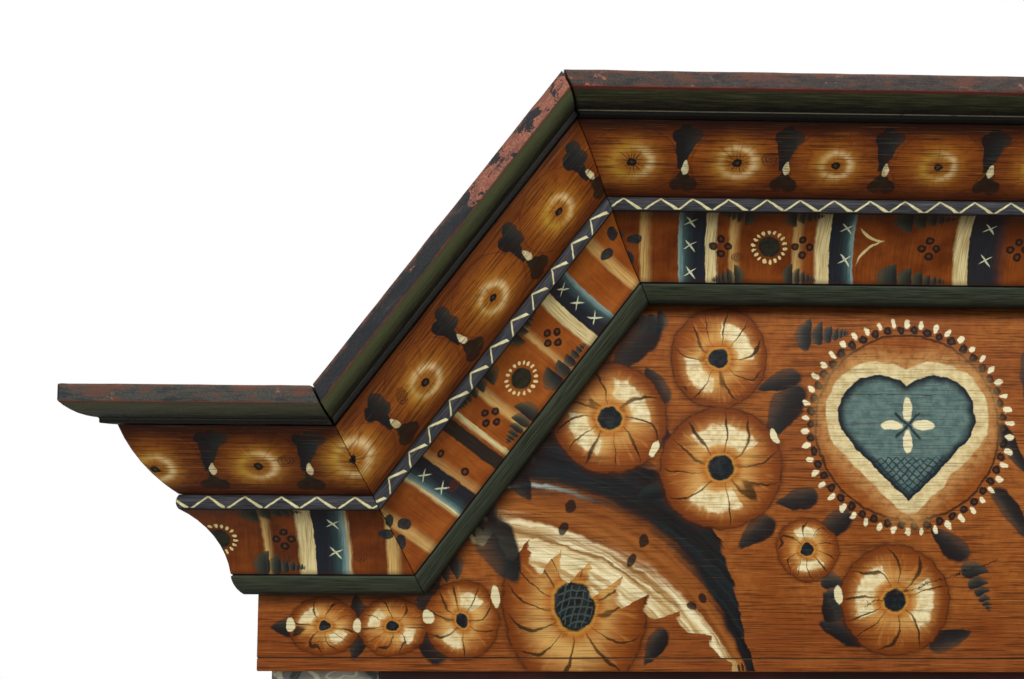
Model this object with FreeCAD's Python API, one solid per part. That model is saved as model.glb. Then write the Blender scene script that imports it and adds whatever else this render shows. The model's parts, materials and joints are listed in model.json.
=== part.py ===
import FreeCAD, Part
import math
import os

# Painted kas cupboard: a panelled two-door case over one long drawer, on turned
# feet, under a crown whose heavy mitred cornice runs level, climbs a rake on
# each side and runs level again along the top.
#
# Millimetres.  X runs to the right, Y to the back, Z up.  The origin is at the
# middle of the footprint on the floor.  Left-hand pieces are modelled and the
# right-hand ones mirrored from them.

V = FreeCAD.Vector

# ---------------------------------------------------------------- the case
foot_height = 120.0
base_rail_height = 50.0
drawer_opening_height = 222.0
waist_rail_height = 48.0
door_opening_height = 1150.0
head_rail_height = 50.0

crown_width = 1336.0        # over the crown's side boards
crown_overhang = 11.0       # crown's floor past the case, front and sides
case_depth = 520.0          # crown's front face to the back of the back boards
frame_thickness = 26.0      # posts and rails of the front frame
side_thickness = 24.0
back_thickness = 14.0
case_board_thickness = 22.0  # top board and floor board between the sides
corner_post_width = 90.0
centre_post_width = 90.0
back_board_count = 6
back_board_lap = 9.0
back_board_gap = 1.0
seat_gap = 0.3              # glued or resting faces that are drawn just clear

post_chamfer = 13.0         # stopped chamfer on the corner posts
chamfer_stop = 45.0         # from a rail to where the chamfer starts
flute_count = 3
flute_pitch = 22.0
flute_radius = 7.0
flute_depth = 4.0
flute_stop = 60.0
flute_sides = 12

shelf_thickness = 20.0
shelf_heights = (280.0, 560.0, 850.0)  # underside, above the case's floor
shelf_setback = 22.0        # from the back of the front frame
cleat_width = 20.0
cleat_height = 26.0

# ---------------------------------------------------------------- the feet
foot_pad_radius = 34.0
foot_pad_height = 12.0
foot_ball_radius = 54.0
foot_neck_radius = 33.0
foot_collar_radius = 46.0
foot_collar_height = 14.0
foot_collar_edge = 6.0
foot_block = 80.0           # square block behind the base rail
foot_block_height = 28.0
back_foot_size = 70.0

# ---------------------------------------------------------------- mouldings of the case
base_moulding_height = 44.0
base_moulding_projection = 28.0
base_moulding_lip = 12.0    # height of the square edge
base_moulding_top = 4.0     # projection at the top
base_moulding_swell = 3.0   # of the hollow and the round above the edge
waist_moulding_height = 36.0
waist_moulding_projection = 20.0
waist_moulding_nose = 12.0  # height of the rounded nose
waist_moulding_foot = 4.0   # projection at the bottom
waist_moulding_hollow = 3.0
waist_moulding_round = 4.0

# ---------------------------------------------------------------- doors
door_gap = 2.0
door_thickness = 24.0
door_stile_width = 82.0
door_top_rail_height = 84.0
door_lock_rail_height = 96.0
door_bottom_rail_height = 104.0
lower_panel_height = 336.0  # opening in the frame; the upper panel takes what is left
tenon_length = 40.0
tenon_thickness = 8.0
tenon_shoulder = 15.0       # above and below each tenon
panel_groove = 9.0          # depth of the groove in stiles and rails
panel_tongue = 6.0          # thickness of the panel's edge in the groove
panel_thickness = 15.0
panel_bevel = 42.0          # width of the sloping field round the raised middle
panel_play = 0.4
panel_moulding_width = 11.0
panel_moulding_rise = 3.0   # how far it stands out past the frame
panel_moulding_crest = 5.0  # width of its flat crest
panel_moulding_edge = 2.2   # square edge against the panel
panel_moulding_bulge = 1.2

# ---------------------------------------------------------------- hinges
hinge_pin_radius = 3.0
hinge_running_gap = 0.08
hinge_knuckle_radius = 5.6
hinge_leaf_thickness = 2.6
hinge_leaf_width = 46.0
hinge_leaf_height = 84.0
hinge_leaf_step = 0.1       # leaf's edge in from the edge of its post or stile
hinge_leaf_waist = 38.0     # leaf's height beside the knuckle
hinge_leaf_flare = 25.0     # from the knuckle to where the leaf widens
hinge_leaf_notch = 5.0      # depth of the notch in the leaf's end
hinge_leaf_tip = 23.0       # half the width of that notch
hinge_knuckle_height = 54.0
hinge_face_gap = 0.3
hinge_inset = 190.0         # hinge centre from the end of the door
hinge_finial_radius = 5.2
hinge_finial_neck = 3.4
hinge_finial_tip = 1.6
hinge_finial_length = 11.0
finial_sides = 8
iron_sides = 12             # flats left by the hammer on pins, knuckles and the key's shank

# ---------------------------------------------------------------- locks
lock_width = 72.0
lock_height = 54.0
lock_depth = 15.0
lock_wall = 2.0
lock_edge = 2.0             # lock case in from the door's free edge
lock_below_key = 21.5
bolt_length = 56.0
bolt_height = 11.0
bolt_thickness = 5.0
bolt_throw = 15.0
bolt_rise = 14.0            # bolt's underside above the key's axis
bolt_play = 0.5
bolt_behind_post = 0.6
bolt_notch_width = 24.0     # where the key's bit takes the bolt along
bolt_notch_depth = 4.0
key_from_edge = 33.0
key_shank_radius = 3.0
key_bore_play = 1.2         # round the key in the stile
key_plate_play = 0.4        # round the key in the iron plates
key_collar_radius = 4.8
key_collar_length = 2.6
key_bit_reach = 12.5
key_bit_width = 3.0
key_bit_depth = 6.0
key_bow_radius = 15.0
key_bow_hole = 9.5
key_bow_sides = 20
key_bow_thickness = 5.0
key_stand_out = 40.0        # bow's centre in front of the door
escutcheon_thickness = 1.6
escutcheon_width = 34.0
escutcheon_height = 66.0

# ---------------------------------------------------------------- drawer
drawer_gap = 2.0
drawer_front_thickness = 24.0
drawer_side_thickness = 14.0
drawer_back_thickness = 14.0
drawer_bottom_thickness = 9.0
drawer_bottom_rise = 9.0    # bottom board above the sides' lower edges
drawer_bottom_groove = 6.0
tail_count = 4              # dovetails at each corner
tail_width = 26.0           # at their roots
tail_slope = 1 / 6
tail_length = 16.0          # into the drawer's front
tail_play = 0.2
drawer_back_room = 41.0     # behind the shut drawer
drawer_box_height = 190.0
drawer_side_play = 3.0
drawer_field_margin = 34.0
drawer_field_depth = 5.0
drawer_field_groove = 9.0   # flat ground round the raised field
drawer_field_bevel = 18.0
runner_width = 36.0
runner_height = 20.0
guide_height = 28.0
knob_radius = 21.0
knob_length = 36.0
knob_neck_radius = 9.0
knob_foot_radius = 15.0
knob_foot_height = 4.5
knob_neck_height = 15.0     # from the front to the knob's thinnest place
knob_head_height = 26.0     # from the front to its widest place
knob_spacing = 620.0

# ---------------------------------------------------------------- crown
crown_floor_thickness = 11.0
fascia_height = 53.0        # plain board from the crown's floor to the cornice
crown_board_thickness = 22.0
crown_side_thickness = 28.0
crown_back_thickness = 15.0
roof_thickness = 15.0
roof_gap = 0.5
flat_length = 139.0         # level run from the corner to the foot of the rake
rake_rise = 245.0
rake_angle = 52.62          # degrees
slab_clear = 4.0            # from a return slab to the rake slab's upper edge
mitre_gap = 0.5
peg_radius = 9.0            # loose pegs between the crown's floor and the case's top
peg_sides = 8
peg_length = 42.0
peg_inset = 60.0
peg_play = 0.4

# Cornice section: how far each arris stands out, and its height above the
# cornice's lower edge, measured square to the run.
slab_top = 167.2
slab_lip = 153.5            # underside of the square lip
slab_out = 131.8
slab_round_out = 107.2      # inner end of the round under the lip
slab_round_low = 141.6
slab_round_bulge = 2.8
slab_underside = 137.4
ovolo_out = 95.8
ovolo_low = 83.2
ovolo_in = 56.0
ovolo_bulge = 4.8
bead_low = 71.6
bead_bulge = 1.9
cove_in = 19.9
cove_low = 17.4
cove_bulge = 7.3
quirk_depth = 1.8
quirk_height = 1.8
torus_out = 10.5
torus_bulge = 1.7
member_gap = 0.3            # shadow line between ovolo and frieze

# ---------------------------------------------------------------- worked out
crown_half = crown_width / 2
case_half = crown_half - crown_overhang
side_inner = case_half - side_thickness
base_z = foot_height
drawer_z = base_z + base_rail_height
waist_z = drawer_z + drawer_opening_height
door_z = waist_z + waist_rail_height
head_z = door_z + door_opening_height
crown_z = head_z + head_rail_height
cornice_z = crown_z + crown_floor_thickness + fascia_height

crown_front = -(case_depth - slab_out) / 2
case_front = crown_front + crown_overhang
frame_back = case_front + frame_thickness
case_back = crown_front + case_depth
back_inner = case_back - back_thickness
post_inner = case_half - corner_post_width

turn = math.radians(rake_angle)
half_turn = math.tan(turn / 2)
slab_inside = flat_length - half_turn * slab_top - slab_clear  # slab's width behind the crown's face
rake_run = rake_rise / math.tan(turn)
rake_foot = V(-crown_half + flat_length, 0, cornice_z)
rake_head = V(rake_foot.x + rake_run, 0, cornice_z + rake_rise)

FAR = 4000.0


# ---------------------------------------------------------------- tools
def block(x0, x1, y0, y1, z0, z1):
    return Part.makeBox(x1 - x0, y1 - y0, z1 - z0, V(x0, y0, z0))


def mirrored(shape):
    return shape.mirror(V(0, 0, 0), V(1, 0, 0))


def pair(shape):
    return [shape, mirrored(shape)]


def polygon_face(points):
    return Part.Face(Part.makePolygon(list(points) + [points[0]]))


def prism_along_x(outline, x0, x1):
    """Outline of (y, z) points, from x0 to x1."""
    return polygon_face([V(x0, y, z) for y, z in outline]).extrude(V(x1 - x0, 0, 0))


def prism_along_y(outline, y0, y1):
    """Outline of (x, z) points, from y0 to y1."""
    return polygon_face([V(x, y0, z) for x, z in outline]).extrude(V(0, y1 - y0, 0))


def prism_along_z(outline, z0, z1):
    """Outline of (x, y) points, from z0 to z1."""
    return polygon_face([V(x, y, z0) for x, y in outline]).extrude(V(0, 0, z1 - z0))


def keep_behind(shape, point, normal):
    """What lies behind the plane through point, against its normal."""
    waste = Part.makeBox(FAR, FAR, FAR, V(-FAR / 2, -FAR / 2, 0))
    turned_to = FreeCAD.Placement(V(0, 0, 0), FreeCAD.Rotation(V(0, 0, 1), normal))
    waste.Placement = turned_to.multiply(waste.Placement)
    waste.translate(point)
    return shape.cut(waste)


def inset_ring(x0, x1, z0, z1, inset, y):
    """Corners of the rectangle this far inside the given one, in the plane at y."""
    return [V(x0 + inset, y, z0 + inset), V(x1 - inset, y, z0 + inset),
            V(x1 - inset, y, z1 - inset), V(x0 + inset, y, z1 - inset)]


def ring_of(sides, radius, centre, axis=V(0, 0, 1)):
    """Corners of a regular polygon round a point, square to the axis."""
    tilt = FreeCAD.Rotation(V(0, 0, 1), axis)
    turns = [2 * math.pi * i / sides for i in range(sides)]
    return [centre + tilt.multVec(V(radius * math.cos(t), radius * math.sin(t), 0)) for t in turns]


def bar(sides, radius, start, along):
    """Bar with flat sides, worked from a round whose radius its corners keep."""
    return polygon_face(ring_of(sides, radius, start, along)).extrude(along)


def clear_bar(sides, radius, start, along):
    """Hole for a bar that turns in it: the hole's flats lie on the radius."""
    return bar(sides, radius / math.cos(math.pi / sides), start, along)


def tapered(low, high):
    """Solid with flat faces between two outlines with as many corners."""
    sides = [polygon_face([low[i - 1], low[i], high[i], high[i - 1]]) for i in range(len(low))]
    solid = Part.makeSolid(Part.makeShell(sides + [polygon_face(low), polygon_face(high)]))
    return solid if solid.Volume > 0 else solid.reversed()


def bulged(start, end, height):
    """Middle of an arc from start to end that stands out to the left by height."""
    along = (end[0] - start[0], end[1] - start[1])
    length = math.hypot(*along)
    return ((start[0] + end[0]) / 2 - along[1] / length * height,
            (start[1] + end[1]) / 2 + along[0] / length * height)


def wire_of(section, place):
    """Closed wire of ("line", end) and ("arc", middle, end) steps, put in space by place."""
    here = section[0][-1]
    edges = []
    for step in section[1:]:
        end = step[-1]
        if step[0] == "arc":
            edges.append(Part.Arc(place(*here), place(*step[1]), place(*end)).toShape())
        else:
            edges.append(Part.LineSegment(place(*here), place(*end)).toShape())
        here = end
    first = section[0][-1]
    if math.dist(here, first) > 1e-6:
        edges.append(Part.LineSegment(place(*here), place(*first)).toShape())
    return Part.Wire(edges)


def swept(section, place, along):
    return Part.Face(wire_of(section, place)).extrude(along)


def turned(outline, base):
    """Solid turned round the upright line through base, from (radius, height) steps."""
    def place(radius, height):
        return V(base.x + radius, base.y, base.z + height)
    face = Part.Face(wire_of(outline, place))
    return face.revolve(base, V(0, 0, 1), 360)


def crown_of_dome(radius, low, high):
    """Middle of an arc centred on the axis, from (radius, low) to (0, high)."""
    centre = (high ** 2 - radius ** 2 - low ** 2) / (2 * (high - low))
    half = math.atan2(radius, low - centre) / 2
    return ((high - centre) * math.sin(half), centre + (high - centre) * math.cos(half))


def one_solid(shape):
    solids = shape.Solids
    return solids[0] if len(solids) == 1 else shape


# ---------------------------------------------------------------- cornice
def slab_section():
    lip = (slab_out, slab_lip)
    inner = (slab_round_out, slab_round_low)
    return [("start", (-slab_inside, slab_underside)),
            ("line", (slab_round_out, slab_underside)),
            ("line", inner),
            ("arc", bulged(inner, lip, -slab_round_bulge), lip),
            ("line", (slab_out, slab_top)),
            ("line", (-slab_inside, slab_top))]


def ovolo_section():
    top = (ovolo_out, slab_underside)
    low = (ovolo_in, ovolo_low)
    return [("start", (0, slab_underside)),
            ("line", (0, ovolo_low)),
            ("line", low),
            ("arc", bulged(low, top, -ovolo_bulge), top)]


def frieze_section():
    top = (ovolo_in, ovolo_low - member_gap)
    bead = (ovolo_in, bead_low)
    cove = (cove_in, cove_low)
    torus_top = (cove_in, cove_low - quirk_height)
    torus_low = (torus_out, 0)
    return [("start", (0, ovolo_low - member_gap)),
            ("line", (0, 0)),
            ("line", torus_low),
            ("arc", bulged(torus_low, torus_top, -torus_bulge), torus_top),
            ("line", (cove_in - quirk_depth, cove_low - quirk_height / 2)),
            ("line", cove),
            ("arc", bulged(cove, bead, cove_bulge), bead),
            ("arc", bulged(bead, top, -bead_bulge), top)]


def front_run(section, start, angle, start_cut, end_cut):
    """A run on the crown's front from start, climbing at angle, between two mitre planes."""
    along = V(math.cos(angle), 0, math.sin(angle))
    square = V(-math.sin(angle), 0, math.cos(angle))

    def place(out, height):
        point = start - along * (FAR / 4) + square * height
        return V(point.x, crown_front - out, point.z)
    shape = swept(section, place, along * (FAR / 2))
    for point, normal in (start_cut, end_cut):
        shape = keep_behind(shape, point - normal * (mitre_gap / 2), normal)
    return one_solid(shape)


def return_run(section):
    """The run down the crown's left side, from the corner mitre to the back."""
    def place(out, height):
        return V(-crown_half - out, crown_front - FAR / 4, cornice_z + height)
    shape = swept(section, place, V(0, FAR / 4 + case_depth, 0))
    return one_solid(keep_behind(shape, corner - corner_square * (-mitre_gap / 2), corner_square * -1))


corner = V(-crown_half, crown_front, cornice_z)
corner_square = V(-1, 1, 0).normalize()          # from the front run towards the return
mitre_square = V(1, 0, half_turn).normalize()    # the same at the rake's foot and head


def cornice_member(name, section):
    """The seven runs of one member: two returns, two flats, two rakes and the top."""
    flat = front_run(section, corner, 0, (corner, corner_square), (rake_foot, mitre_square))
    rake = front_run(section, rake_foot, turn, (rake_foot, mitre_square * -1), (rake_head, mitre_square))
    far_head = V(-rake_head.x, 0, rake_head.z)
    far_square = V(mitre_square.x, 0, -mitre_square.z)
    top = front_run(section, rake_head, 0, (rake_head, mitre_square * -1), (far_head, far_square))
    return {f"{name}_top": [top],
            f"{name}_rake_left": [rake],
            f"{name}_rake_right": [mirrored(rake)],
            f"{name}_flat_left": [flat],
            f"{name}_flat_right": [mirrored(flat)],
            f"{name}_returns": pair(return_run(section))}


# ---------------------------------------------------------------- crown boards
def offset_point(base, height):
    """The corner at base, moved square to both runs that meet there."""
    return (base.x - half_turn * height, base.z + height)


def crown_outline(bottom, height):
    """Crown's shape seen from the front, up to a line this far above the cornice's edge."""
    left = [(-crown_half, bottom), (-crown_half, cornice_z + height),
            offset_point(rake_foot, height), offset_point(rake_head, height)]
    return left + [(-x, z) for x, z in reversed(left)]


def crown_boards():
    floor_top = crown_z + crown_floor_thickness
    inner_front = crown_front + crown_board_thickness
    back_front = case_back - crown_back_thickness
    side = block(-crown_half, -crown_half + crown_side_thickness, inner_front, back_front, floor_top,
                 cornice_z + slab_underside)
    face = crown_outline(floor_top, slab_underside)
    floor = block(-crown_half, crown_half, crown_front, case_back, crown_z, floor_top)
    return {
        "crown_floor_board": [one_solid(peg_bored(floor))],
        "crown_pegs": [peg(base) for base in peg_bases()],
        "crown_tympanum_board": [prism_along_y(face, crown_front, inner_front)],
        "crown_side_boards": pair(side),
        "crown_back_board": [prism_along_y(face, back_front, case_back)],
        "crown_roof_boards": roof_boards(),
    }


def peg_bases():
    """Feet of the four loose pegs that keep the crown in place on the case."""
    x = side_inner - peg_inset
    return [V(sx, y, crown_z - case_board_thickness)
            for sx in (-x, x) for y in (frame_back + peg_inset, back_inner - peg_inset)]


def peg(base):
    """A whittled eight-sided peg."""
    return bar(peg_sides, peg_radius, base, V(0, 0, peg_length))


def peg_bored(board):
    for base in peg_bases():
        board = board.cut(bar(peg_sides, peg_radius + peg_play, base - V(0, 0, 1), V(0, 0, peg_length + 2)))
    return board


def roof_boards():
    """Rough boards behind the slabs, one over each run, from slab to back."""
    low, high = slab_underside, slab_underside + roof_thickness
    y0, y1 = crown_front + slab_inside + roof_gap, case_back
    inner = -crown_half + slab_inside + roof_gap
    foot_low, foot_high = offset_point(rake_foot, low), offset_point(rake_foot, high)
    head_low, head_high = offset_point(rake_head, low), offset_point(rake_head, high)

    def moved(point, step):
        return (point[0] + step, point[1])
    flat = [(inner, foot_low[1]), moved(foot_low, -roof_gap), moved(foot_high, -roof_gap),
            (inner, foot_high[1])]
    rake = [foot_low, moved(head_low, -roof_gap), moved(head_high, -roof_gap), foot_high]
    top = [head_low, (-head_low[0], head_low[1]), (-head_high[0], head_high[1]), head_high]
    left = [prism_along_y(flat, y0, y1), prism_along_y(rake, y0, y1)]
    return left + [prism_along_y(top, y0, y1)] + [mirrored(board) for board in left]


# ---------------------------------------------------------------- case
def chamfered_post():
    """Left corner post: a stopped chamfer on its outer front edge between the rails."""
    post = block(-case_half, -post_inner, case_front, frame_back, base_z, crown_z)
    low, high = door_z + chamfer_stop, head_z - chamfer_stop
    waste = prism_along_z([(-case_half - 1, case_front - 1), (-case_half + post_chamfer, case_front - 1),
                           (-case_half + post_chamfer, case_front), (-case_half, case_front + post_chamfer),
                           (-case_half - 1, case_front + post_chamfer)], low, high)
    return one_solid(post.cut(waste))


def fluted_post():
    """Centre post with flutes on its front that run out in a slope at both ends."""
    post = block(-centre_post_width / 2, centre_post_width / 2, case_front, frame_back, door_z, head_z)
    sink = flute_radius - flute_depth
    low, high = door_z + flute_stop, head_z - flute_stop
    for i in range(flute_count):
        x = (i - (flute_count - 1) / 2) * flute_pitch
        steps = ((low - flute_radius, sink), (low, flute_radius), (high, flute_radius),
                 (high + flute_radius, sink))
        rings = [ring_of(flute_sides, radius, V(x, case_front - sink, z)) for z, radius in steps]
        for lower, upper in zip(rings, rings[1:]):
            post = post.cut(tapered(lower, upper))
    return one_solid(post)


def back_boards():
    """Upright boards with half laps, so that no light shows between them."""
    pitch = 2 * case_half / back_board_count
    middle = (back_inner + case_back) / 2
    boards = []
    for i in range(back_board_count):
        x0 = -case_half + i * pitch
        x1 = x0 + pitch
        left_lap = x0 + (back_board_lap if i else 0.0)
        right_end = x1 - (0.0 if i == back_board_count - 1 else back_board_gap)
        right_lap = right_end + (back_board_lap if i < back_board_count - 1 else 0.0)
        outline = [(x0, case_back), (x0, middle), (left_lap, middle), (left_lap, back_inner),
                   (right_lap, back_inner), (right_lap, middle - seat_gap), (right_end, middle - seat_gap),
                   (right_end, case_back)]
        boards.append(one_solid(prism_along_z(clean(outline), base_z, crown_z)))
    return boards


def clean(outline):
    """The outline without repeated points."""
    kept = [p for i, p in enumerate(outline) if math.dist(p, outline[i - 1]) > 1e-6]
    return kept


def case_parts():
    side = block(-case_half, -side_inner, frame_back, back_inner, base_z, crown_z)
    shelves = []
    cleats = []
    shelf_front = frame_back + shelf_setback
    for height in shelf_heights:
        z = door_z + height
        shelves.append(block(-side_inner, side_inner, shelf_front, back_inner, z, z + shelf_thickness))
        cleats += pair(block(-side_inner, -side_inner + cleat_width, shelf_front, back_inner,
                             z - cleat_height, z))
    return {
        "case_side_left": [side],
        "case_side_right": [mirrored(side)],
        "case_top_board": [one_solid(peg_bored(block(-side_inner, side_inner, frame_back, back_inner,
                                                     crown_z - case_board_thickness, crown_z)))],
        "case_floor_board": [block(-side_inner, side_inner, frame_back, back_inner,
                                   door_z - case_board_thickness, door_z)],
        "back_boards": back_boards(),
        "shelves": shelves,
        "shelf_cleats": cleats,
        "corner_posts": pair(chamfered_post()),
        "centre_post": [fluted_post()],
        "head_rail": [block(-post_inner, post_inner, case_front, frame_back, head_z, crown_z)],
        "waist_rail": [block(-post_inner, post_inner, case_front, frame_back, waist_z, door_z)],
        "base_rail": [block(-post_inner, post_inner, case_front, frame_back, base_z, drawer_z)],
        "drawer_runners": drawer_runners(),
        "feet": front_feet() + back_feet(),
        "base_moulding": wrapped(base_section(), base_z),
        "waist_moulding": wrapped(waist_section(), door_z - waist_moulding_height),
    }


def base_section():
    nose = (base_moulding_projection, base_moulding_lip)
    top = (base_moulding_top, base_moulding_height)
    middle = ((nose[0] + top[0]) / 2, (nose[1] + top[1]) / 2)
    return [("start", (0, 0)),
            ("line", (base_moulding_projection, 0)),
            ("line", nose),
            ("arc", bulged(nose, middle, -base_moulding_swell), middle),
            ("arc", bulged(middle, top, base_moulding_swell), top),
            ("line", (0, base_moulding_height))]


def waist_section():
    foot = (waist_moulding_foot, 0)
    nose_low = (waist_moulding_projection, waist_moulding_height - waist_moulding_nose)
    nose_top = (waist_moulding_projection, waist_moulding_height)
    return [("start", (0, 0)),
            ("line", foot),
            ("arc", bulged(foot, nose_low, waist_moulding_hollow), nose_low),
            ("arc", bulged(nose_low, nose_top, -waist_moulding_round), nose_top),
            ("line", (0, waist_moulding_height))]


def wrapped(section, z):
    """A moulding round the front and both sides of the case, mitred at the corners."""
    turn_at = V(-case_half, case_front, z)

    def on_front(out, height):
        return V(-FAR / 4, case_front - out, z + height)

    def on_side(out, height):
        return V(-case_half - out, case_front - FAR / 4, z + height)
    front = swept(section, on_front, V(FAR / 2, 0, 0))
    front = keep_behind(front, turn_at - corner_square * (mitre_gap / 2), corner_square)
    front = keep_behind(front, V(-turn_at.x - mitre_gap / 2, turn_at.y, z), V(1, 1, 0).normalize())
    side = swept(section, on_side, V(0, FAR / 4 + case_back - case_front, 0))
    side = keep_behind(side, turn_at + corner_square * (mitre_gap / 2), corner_square * -1)
    return [one_solid(front)] + pair(one_solid(side))


def front_feet():
    centre = V(-side_inner + foot_block / 2, frame_back + foot_block / 2, 0)
    ball_z = foot_pad_height + math.sqrt(foot_ball_radius ** 2 - foot_pad_radius ** 2)
    ball_top = ball_z + math.sqrt(foot_ball_radius ** 2 - foot_neck_radius ** 2)
    outline = [("start", (0, 0)),
               ("line", (foot_pad_radius, 0)),
               ("line", (foot_pad_radius, foot_pad_height)),
               ("arc", (foot_ball_radius, ball_z), (foot_neck_radius, ball_top)),
               ("line", (foot_neck_radius, base_z - foot_collar_height)),
               ("line", (foot_collar_radius, base_z - foot_collar_edge)),
               ("line", (foot_collar_radius, base_z)),
               ("line", (0, base_z))]
    foot = turned(outline, centre)
    corner_block = block(-side_inner, -side_inner + foot_block, frame_back, frame_back + foot_block,
                         base_z, base_z + foot_block_height)
    return pair(one_solid(foot.fuse(corner_block)))


def back_feet():
    x = -side_inner
    block_top = base_z + foot_block_height
    return pair(block(x, x + back_foot_size, back_inner - back_foot_size, back_inner, 0, block_top))


# ---------------------------------------------------------------- drawer
drawer_half = post_inner - drawer_gap
box_half = post_inner - drawer_side_play
drawer_front_y = case_front
drawer_back_y = case_front + drawer_front_thickness
drawer_low = drawer_z + drawer_gap
drawer_high = waist_z - drawer_gap
drawer_side_x = -box_half + drawer_side_thickness
drawer_box_top = drawer_low + drawer_box_height
drawer_end_y = back_inner - drawer_back_room
drawer_bottom_z = drawer_low + drawer_bottom_rise
drawer_back_z = drawer_bottom_z + drawer_bottom_thickness


def drawer_runners():
    """Under the drawer's sides, and the guides beside them."""
    top = drawer_low - seat_gap
    inner = -box_half + runner_width - drawer_side_play
    runner = block(-side_inner, inner, frame_back, back_inner, top - runner_height, top)
    guide = block(-side_inner, -box_half - drawer_side_play / 2, frame_back, back_inner,
                  top, top + guide_height)
    return pair(runner) + pair(guide)


def tails(x0, x1, root, tip, z0, z1, play):
    """Dovetails from root to tip along Y, shared out evenly between z0 and z1."""
    pitch = (z1 - z0) / tail_count
    spread = abs(tip - root) * tail_slope
    reach = math.copysign(play, tip - root)
    shapes = []
    for i in range(tail_count):
        middle = z0 + pitch * (i + 0.5)
        half = tail_width / 2 + play
        outline = [(root - reach, middle - half), (tip + reach, middle - half - spread),
                   (tip + reach, middle + half + spread), (root - reach, middle + half)]
        shapes.append(prism_along_x(outline, x0, x1))
    return shapes


def front_tails(x0, x1, play):
    return tails(x0, x1, drawer_back_y, drawer_back_y - tail_length, drawer_low, drawer_box_top, play)


def back_tails(x0, x1, play):
    root = drawer_end_y - drawer_back_thickness
    return tails(x0, x1, root, drawer_end_y, drawer_back_z, drawer_box_top, play)


def drawer_front():
    front = block(-drawer_half, drawer_half, drawer_front_y, drawer_back_y, drawer_low, drawer_high)
    z0, z1 = drawer_low + drawer_field_margin, drawer_high - drawer_field_margin
    x_out, x_in = drawer_half - drawer_field_margin, drawer_field_margin / 2
    for x0, x1 in ((-x_out, -x_in), (x_in, x_out)):
        front = front.cut(block(x0, x1, drawer_front_y - 1, drawer_front_y + drawer_field_depth, z0, z1))
        front = front.fuse(raised_field(x0, x1, z0, z1))
    for x0, x1 in ((-drawer_half - 1, drawer_side_x), (-drawer_side_x, drawer_half + 1)):
        front = front.cut(front_tails(x0, x1, tail_play))
    return one_solid(front.cut(bottom_board(seat_gap)).removeSplitter())


def bottom_board(play):
    """The drawer's bottom, which sits in grooves and runs out under the back."""
    reach = drawer_side_x - drawer_bottom_groove - play
    return block(reach, -reach, drawer_back_y - drawer_bottom_groove - play, drawer_end_y,
                 drawer_bottom_z - play, drawer_bottom_z + drawer_bottom_thickness + play)


def drawer_side():
    """Left side: tails into the front and through the back, and a groove for the bottom."""
    back_root = drawer_end_y - drawer_back_thickness
    side = block(-box_half, drawer_side_x, drawer_back_y, back_root, drawer_low, drawer_box_top)
    side = side.fuse(block(-box_half, drawer_side_x, back_root, drawer_end_y, drawer_low, drawer_back_z))
    side = side.multiFuse(front_tails(-box_half, drawer_side_x, 0) + back_tails(-box_half, drawer_side_x, 0))
    return one_solid(side.cut(bottom_board(seat_gap)).removeSplitter())


def drawer_back():
    back_root = drawer_end_y - drawer_back_thickness
    back = block(-box_half, box_half, back_root, drawer_end_y, drawer_back_z, drawer_box_top)
    for x0, x1 in ((-box_half - 1, drawer_side_x), (-drawer_side_x, box_half + 1)):
        back = back.cut(back_tails(x0, x1, tail_play))
    return one_solid(back)


def drawer_parts():
    return {"drawer_front": [drawer_front()],
            "drawer_box": pair(drawer_side()) + [drawer_back(), bottom_board(0)],
            "drawer_knobs": pair(knob(-knob_spacing / 2, (drawer_low + drawer_high) / 2))}


def raised_field(x0, x1, z0, z1):
    """The sloping, raised middle inside a sunk margin of the drawer's front."""
    low = drawer_field_groove
    high = low + drawer_field_bevel
    return tapered(inset_ring(x0, x1, z0, z1, low, drawer_front_y + drawer_field_depth),
                   inset_ring(x0, x1, z0, z1, high, drawer_front_y))


def knob(x, z):
    """A turned wooden knob on the drawer's front, its axis along Y."""
    foot = (knob_foot_radius, knob_foot_height)
    neck = (knob_neck_radius, knob_neck_height)
    head = (knob_radius, knob_head_height)
    outline = [("start", (0, 0)),
               ("line", (knob_foot_radius, 0)),
               ("line", foot),
               ("line", neck),
               ("line", head),
               ("arc", crown_of_dome(knob_radius, knob_head_height, knob_length), (0, knob_length))]
    shape = turned(outline, V(0, 0, 0))
    shape.rotate(V(0, 0, 0), V(1, 0, 0), 90)
    shape.translate(V(x, drawer_front_y, z))
    return one_solid(shape)


# ---------------------------------------------------------------- doors
hinge_x = -post_inner + door_gap / 2
hinge_y = case_front - hinge_knuckle_radius - hinge_face_gap
door_x0 = -post_inner + door_gap
door_x1 = -centre_post_width / 2 - door_gap
door_z0 = door_z + door_gap
door_z1 = head_z - door_gap
door_front = case_front
door_back = case_front + door_thickness
stile_in = door_x0 + door_stile_width
stile_out = door_x1 - door_stile_width
lock_rail_z = door_z0 + door_bottom_rail_height + lower_panel_height
upper_panel_z = lock_rail_z + door_lock_rail_height
panel_openings = ((door_z0 + door_bottom_rail_height, lock_rail_z),
                  (upper_panel_z, door_z1 - door_top_rail_height))
groove_front = door_front + (door_thickness - panel_tongue) / 2 - panel_play / 2
groove_back = groove_front + panel_tongue + panel_play
key_x = door_x1 - key_from_edge
key_z = lock_rail_z + door_lock_rail_height / 2
rails = ((door_z0, door_z0 + door_bottom_rail_height),
         (lock_rail_z, upper_panel_z),
         (door_z1 - door_top_rail_height, door_z1))


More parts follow.
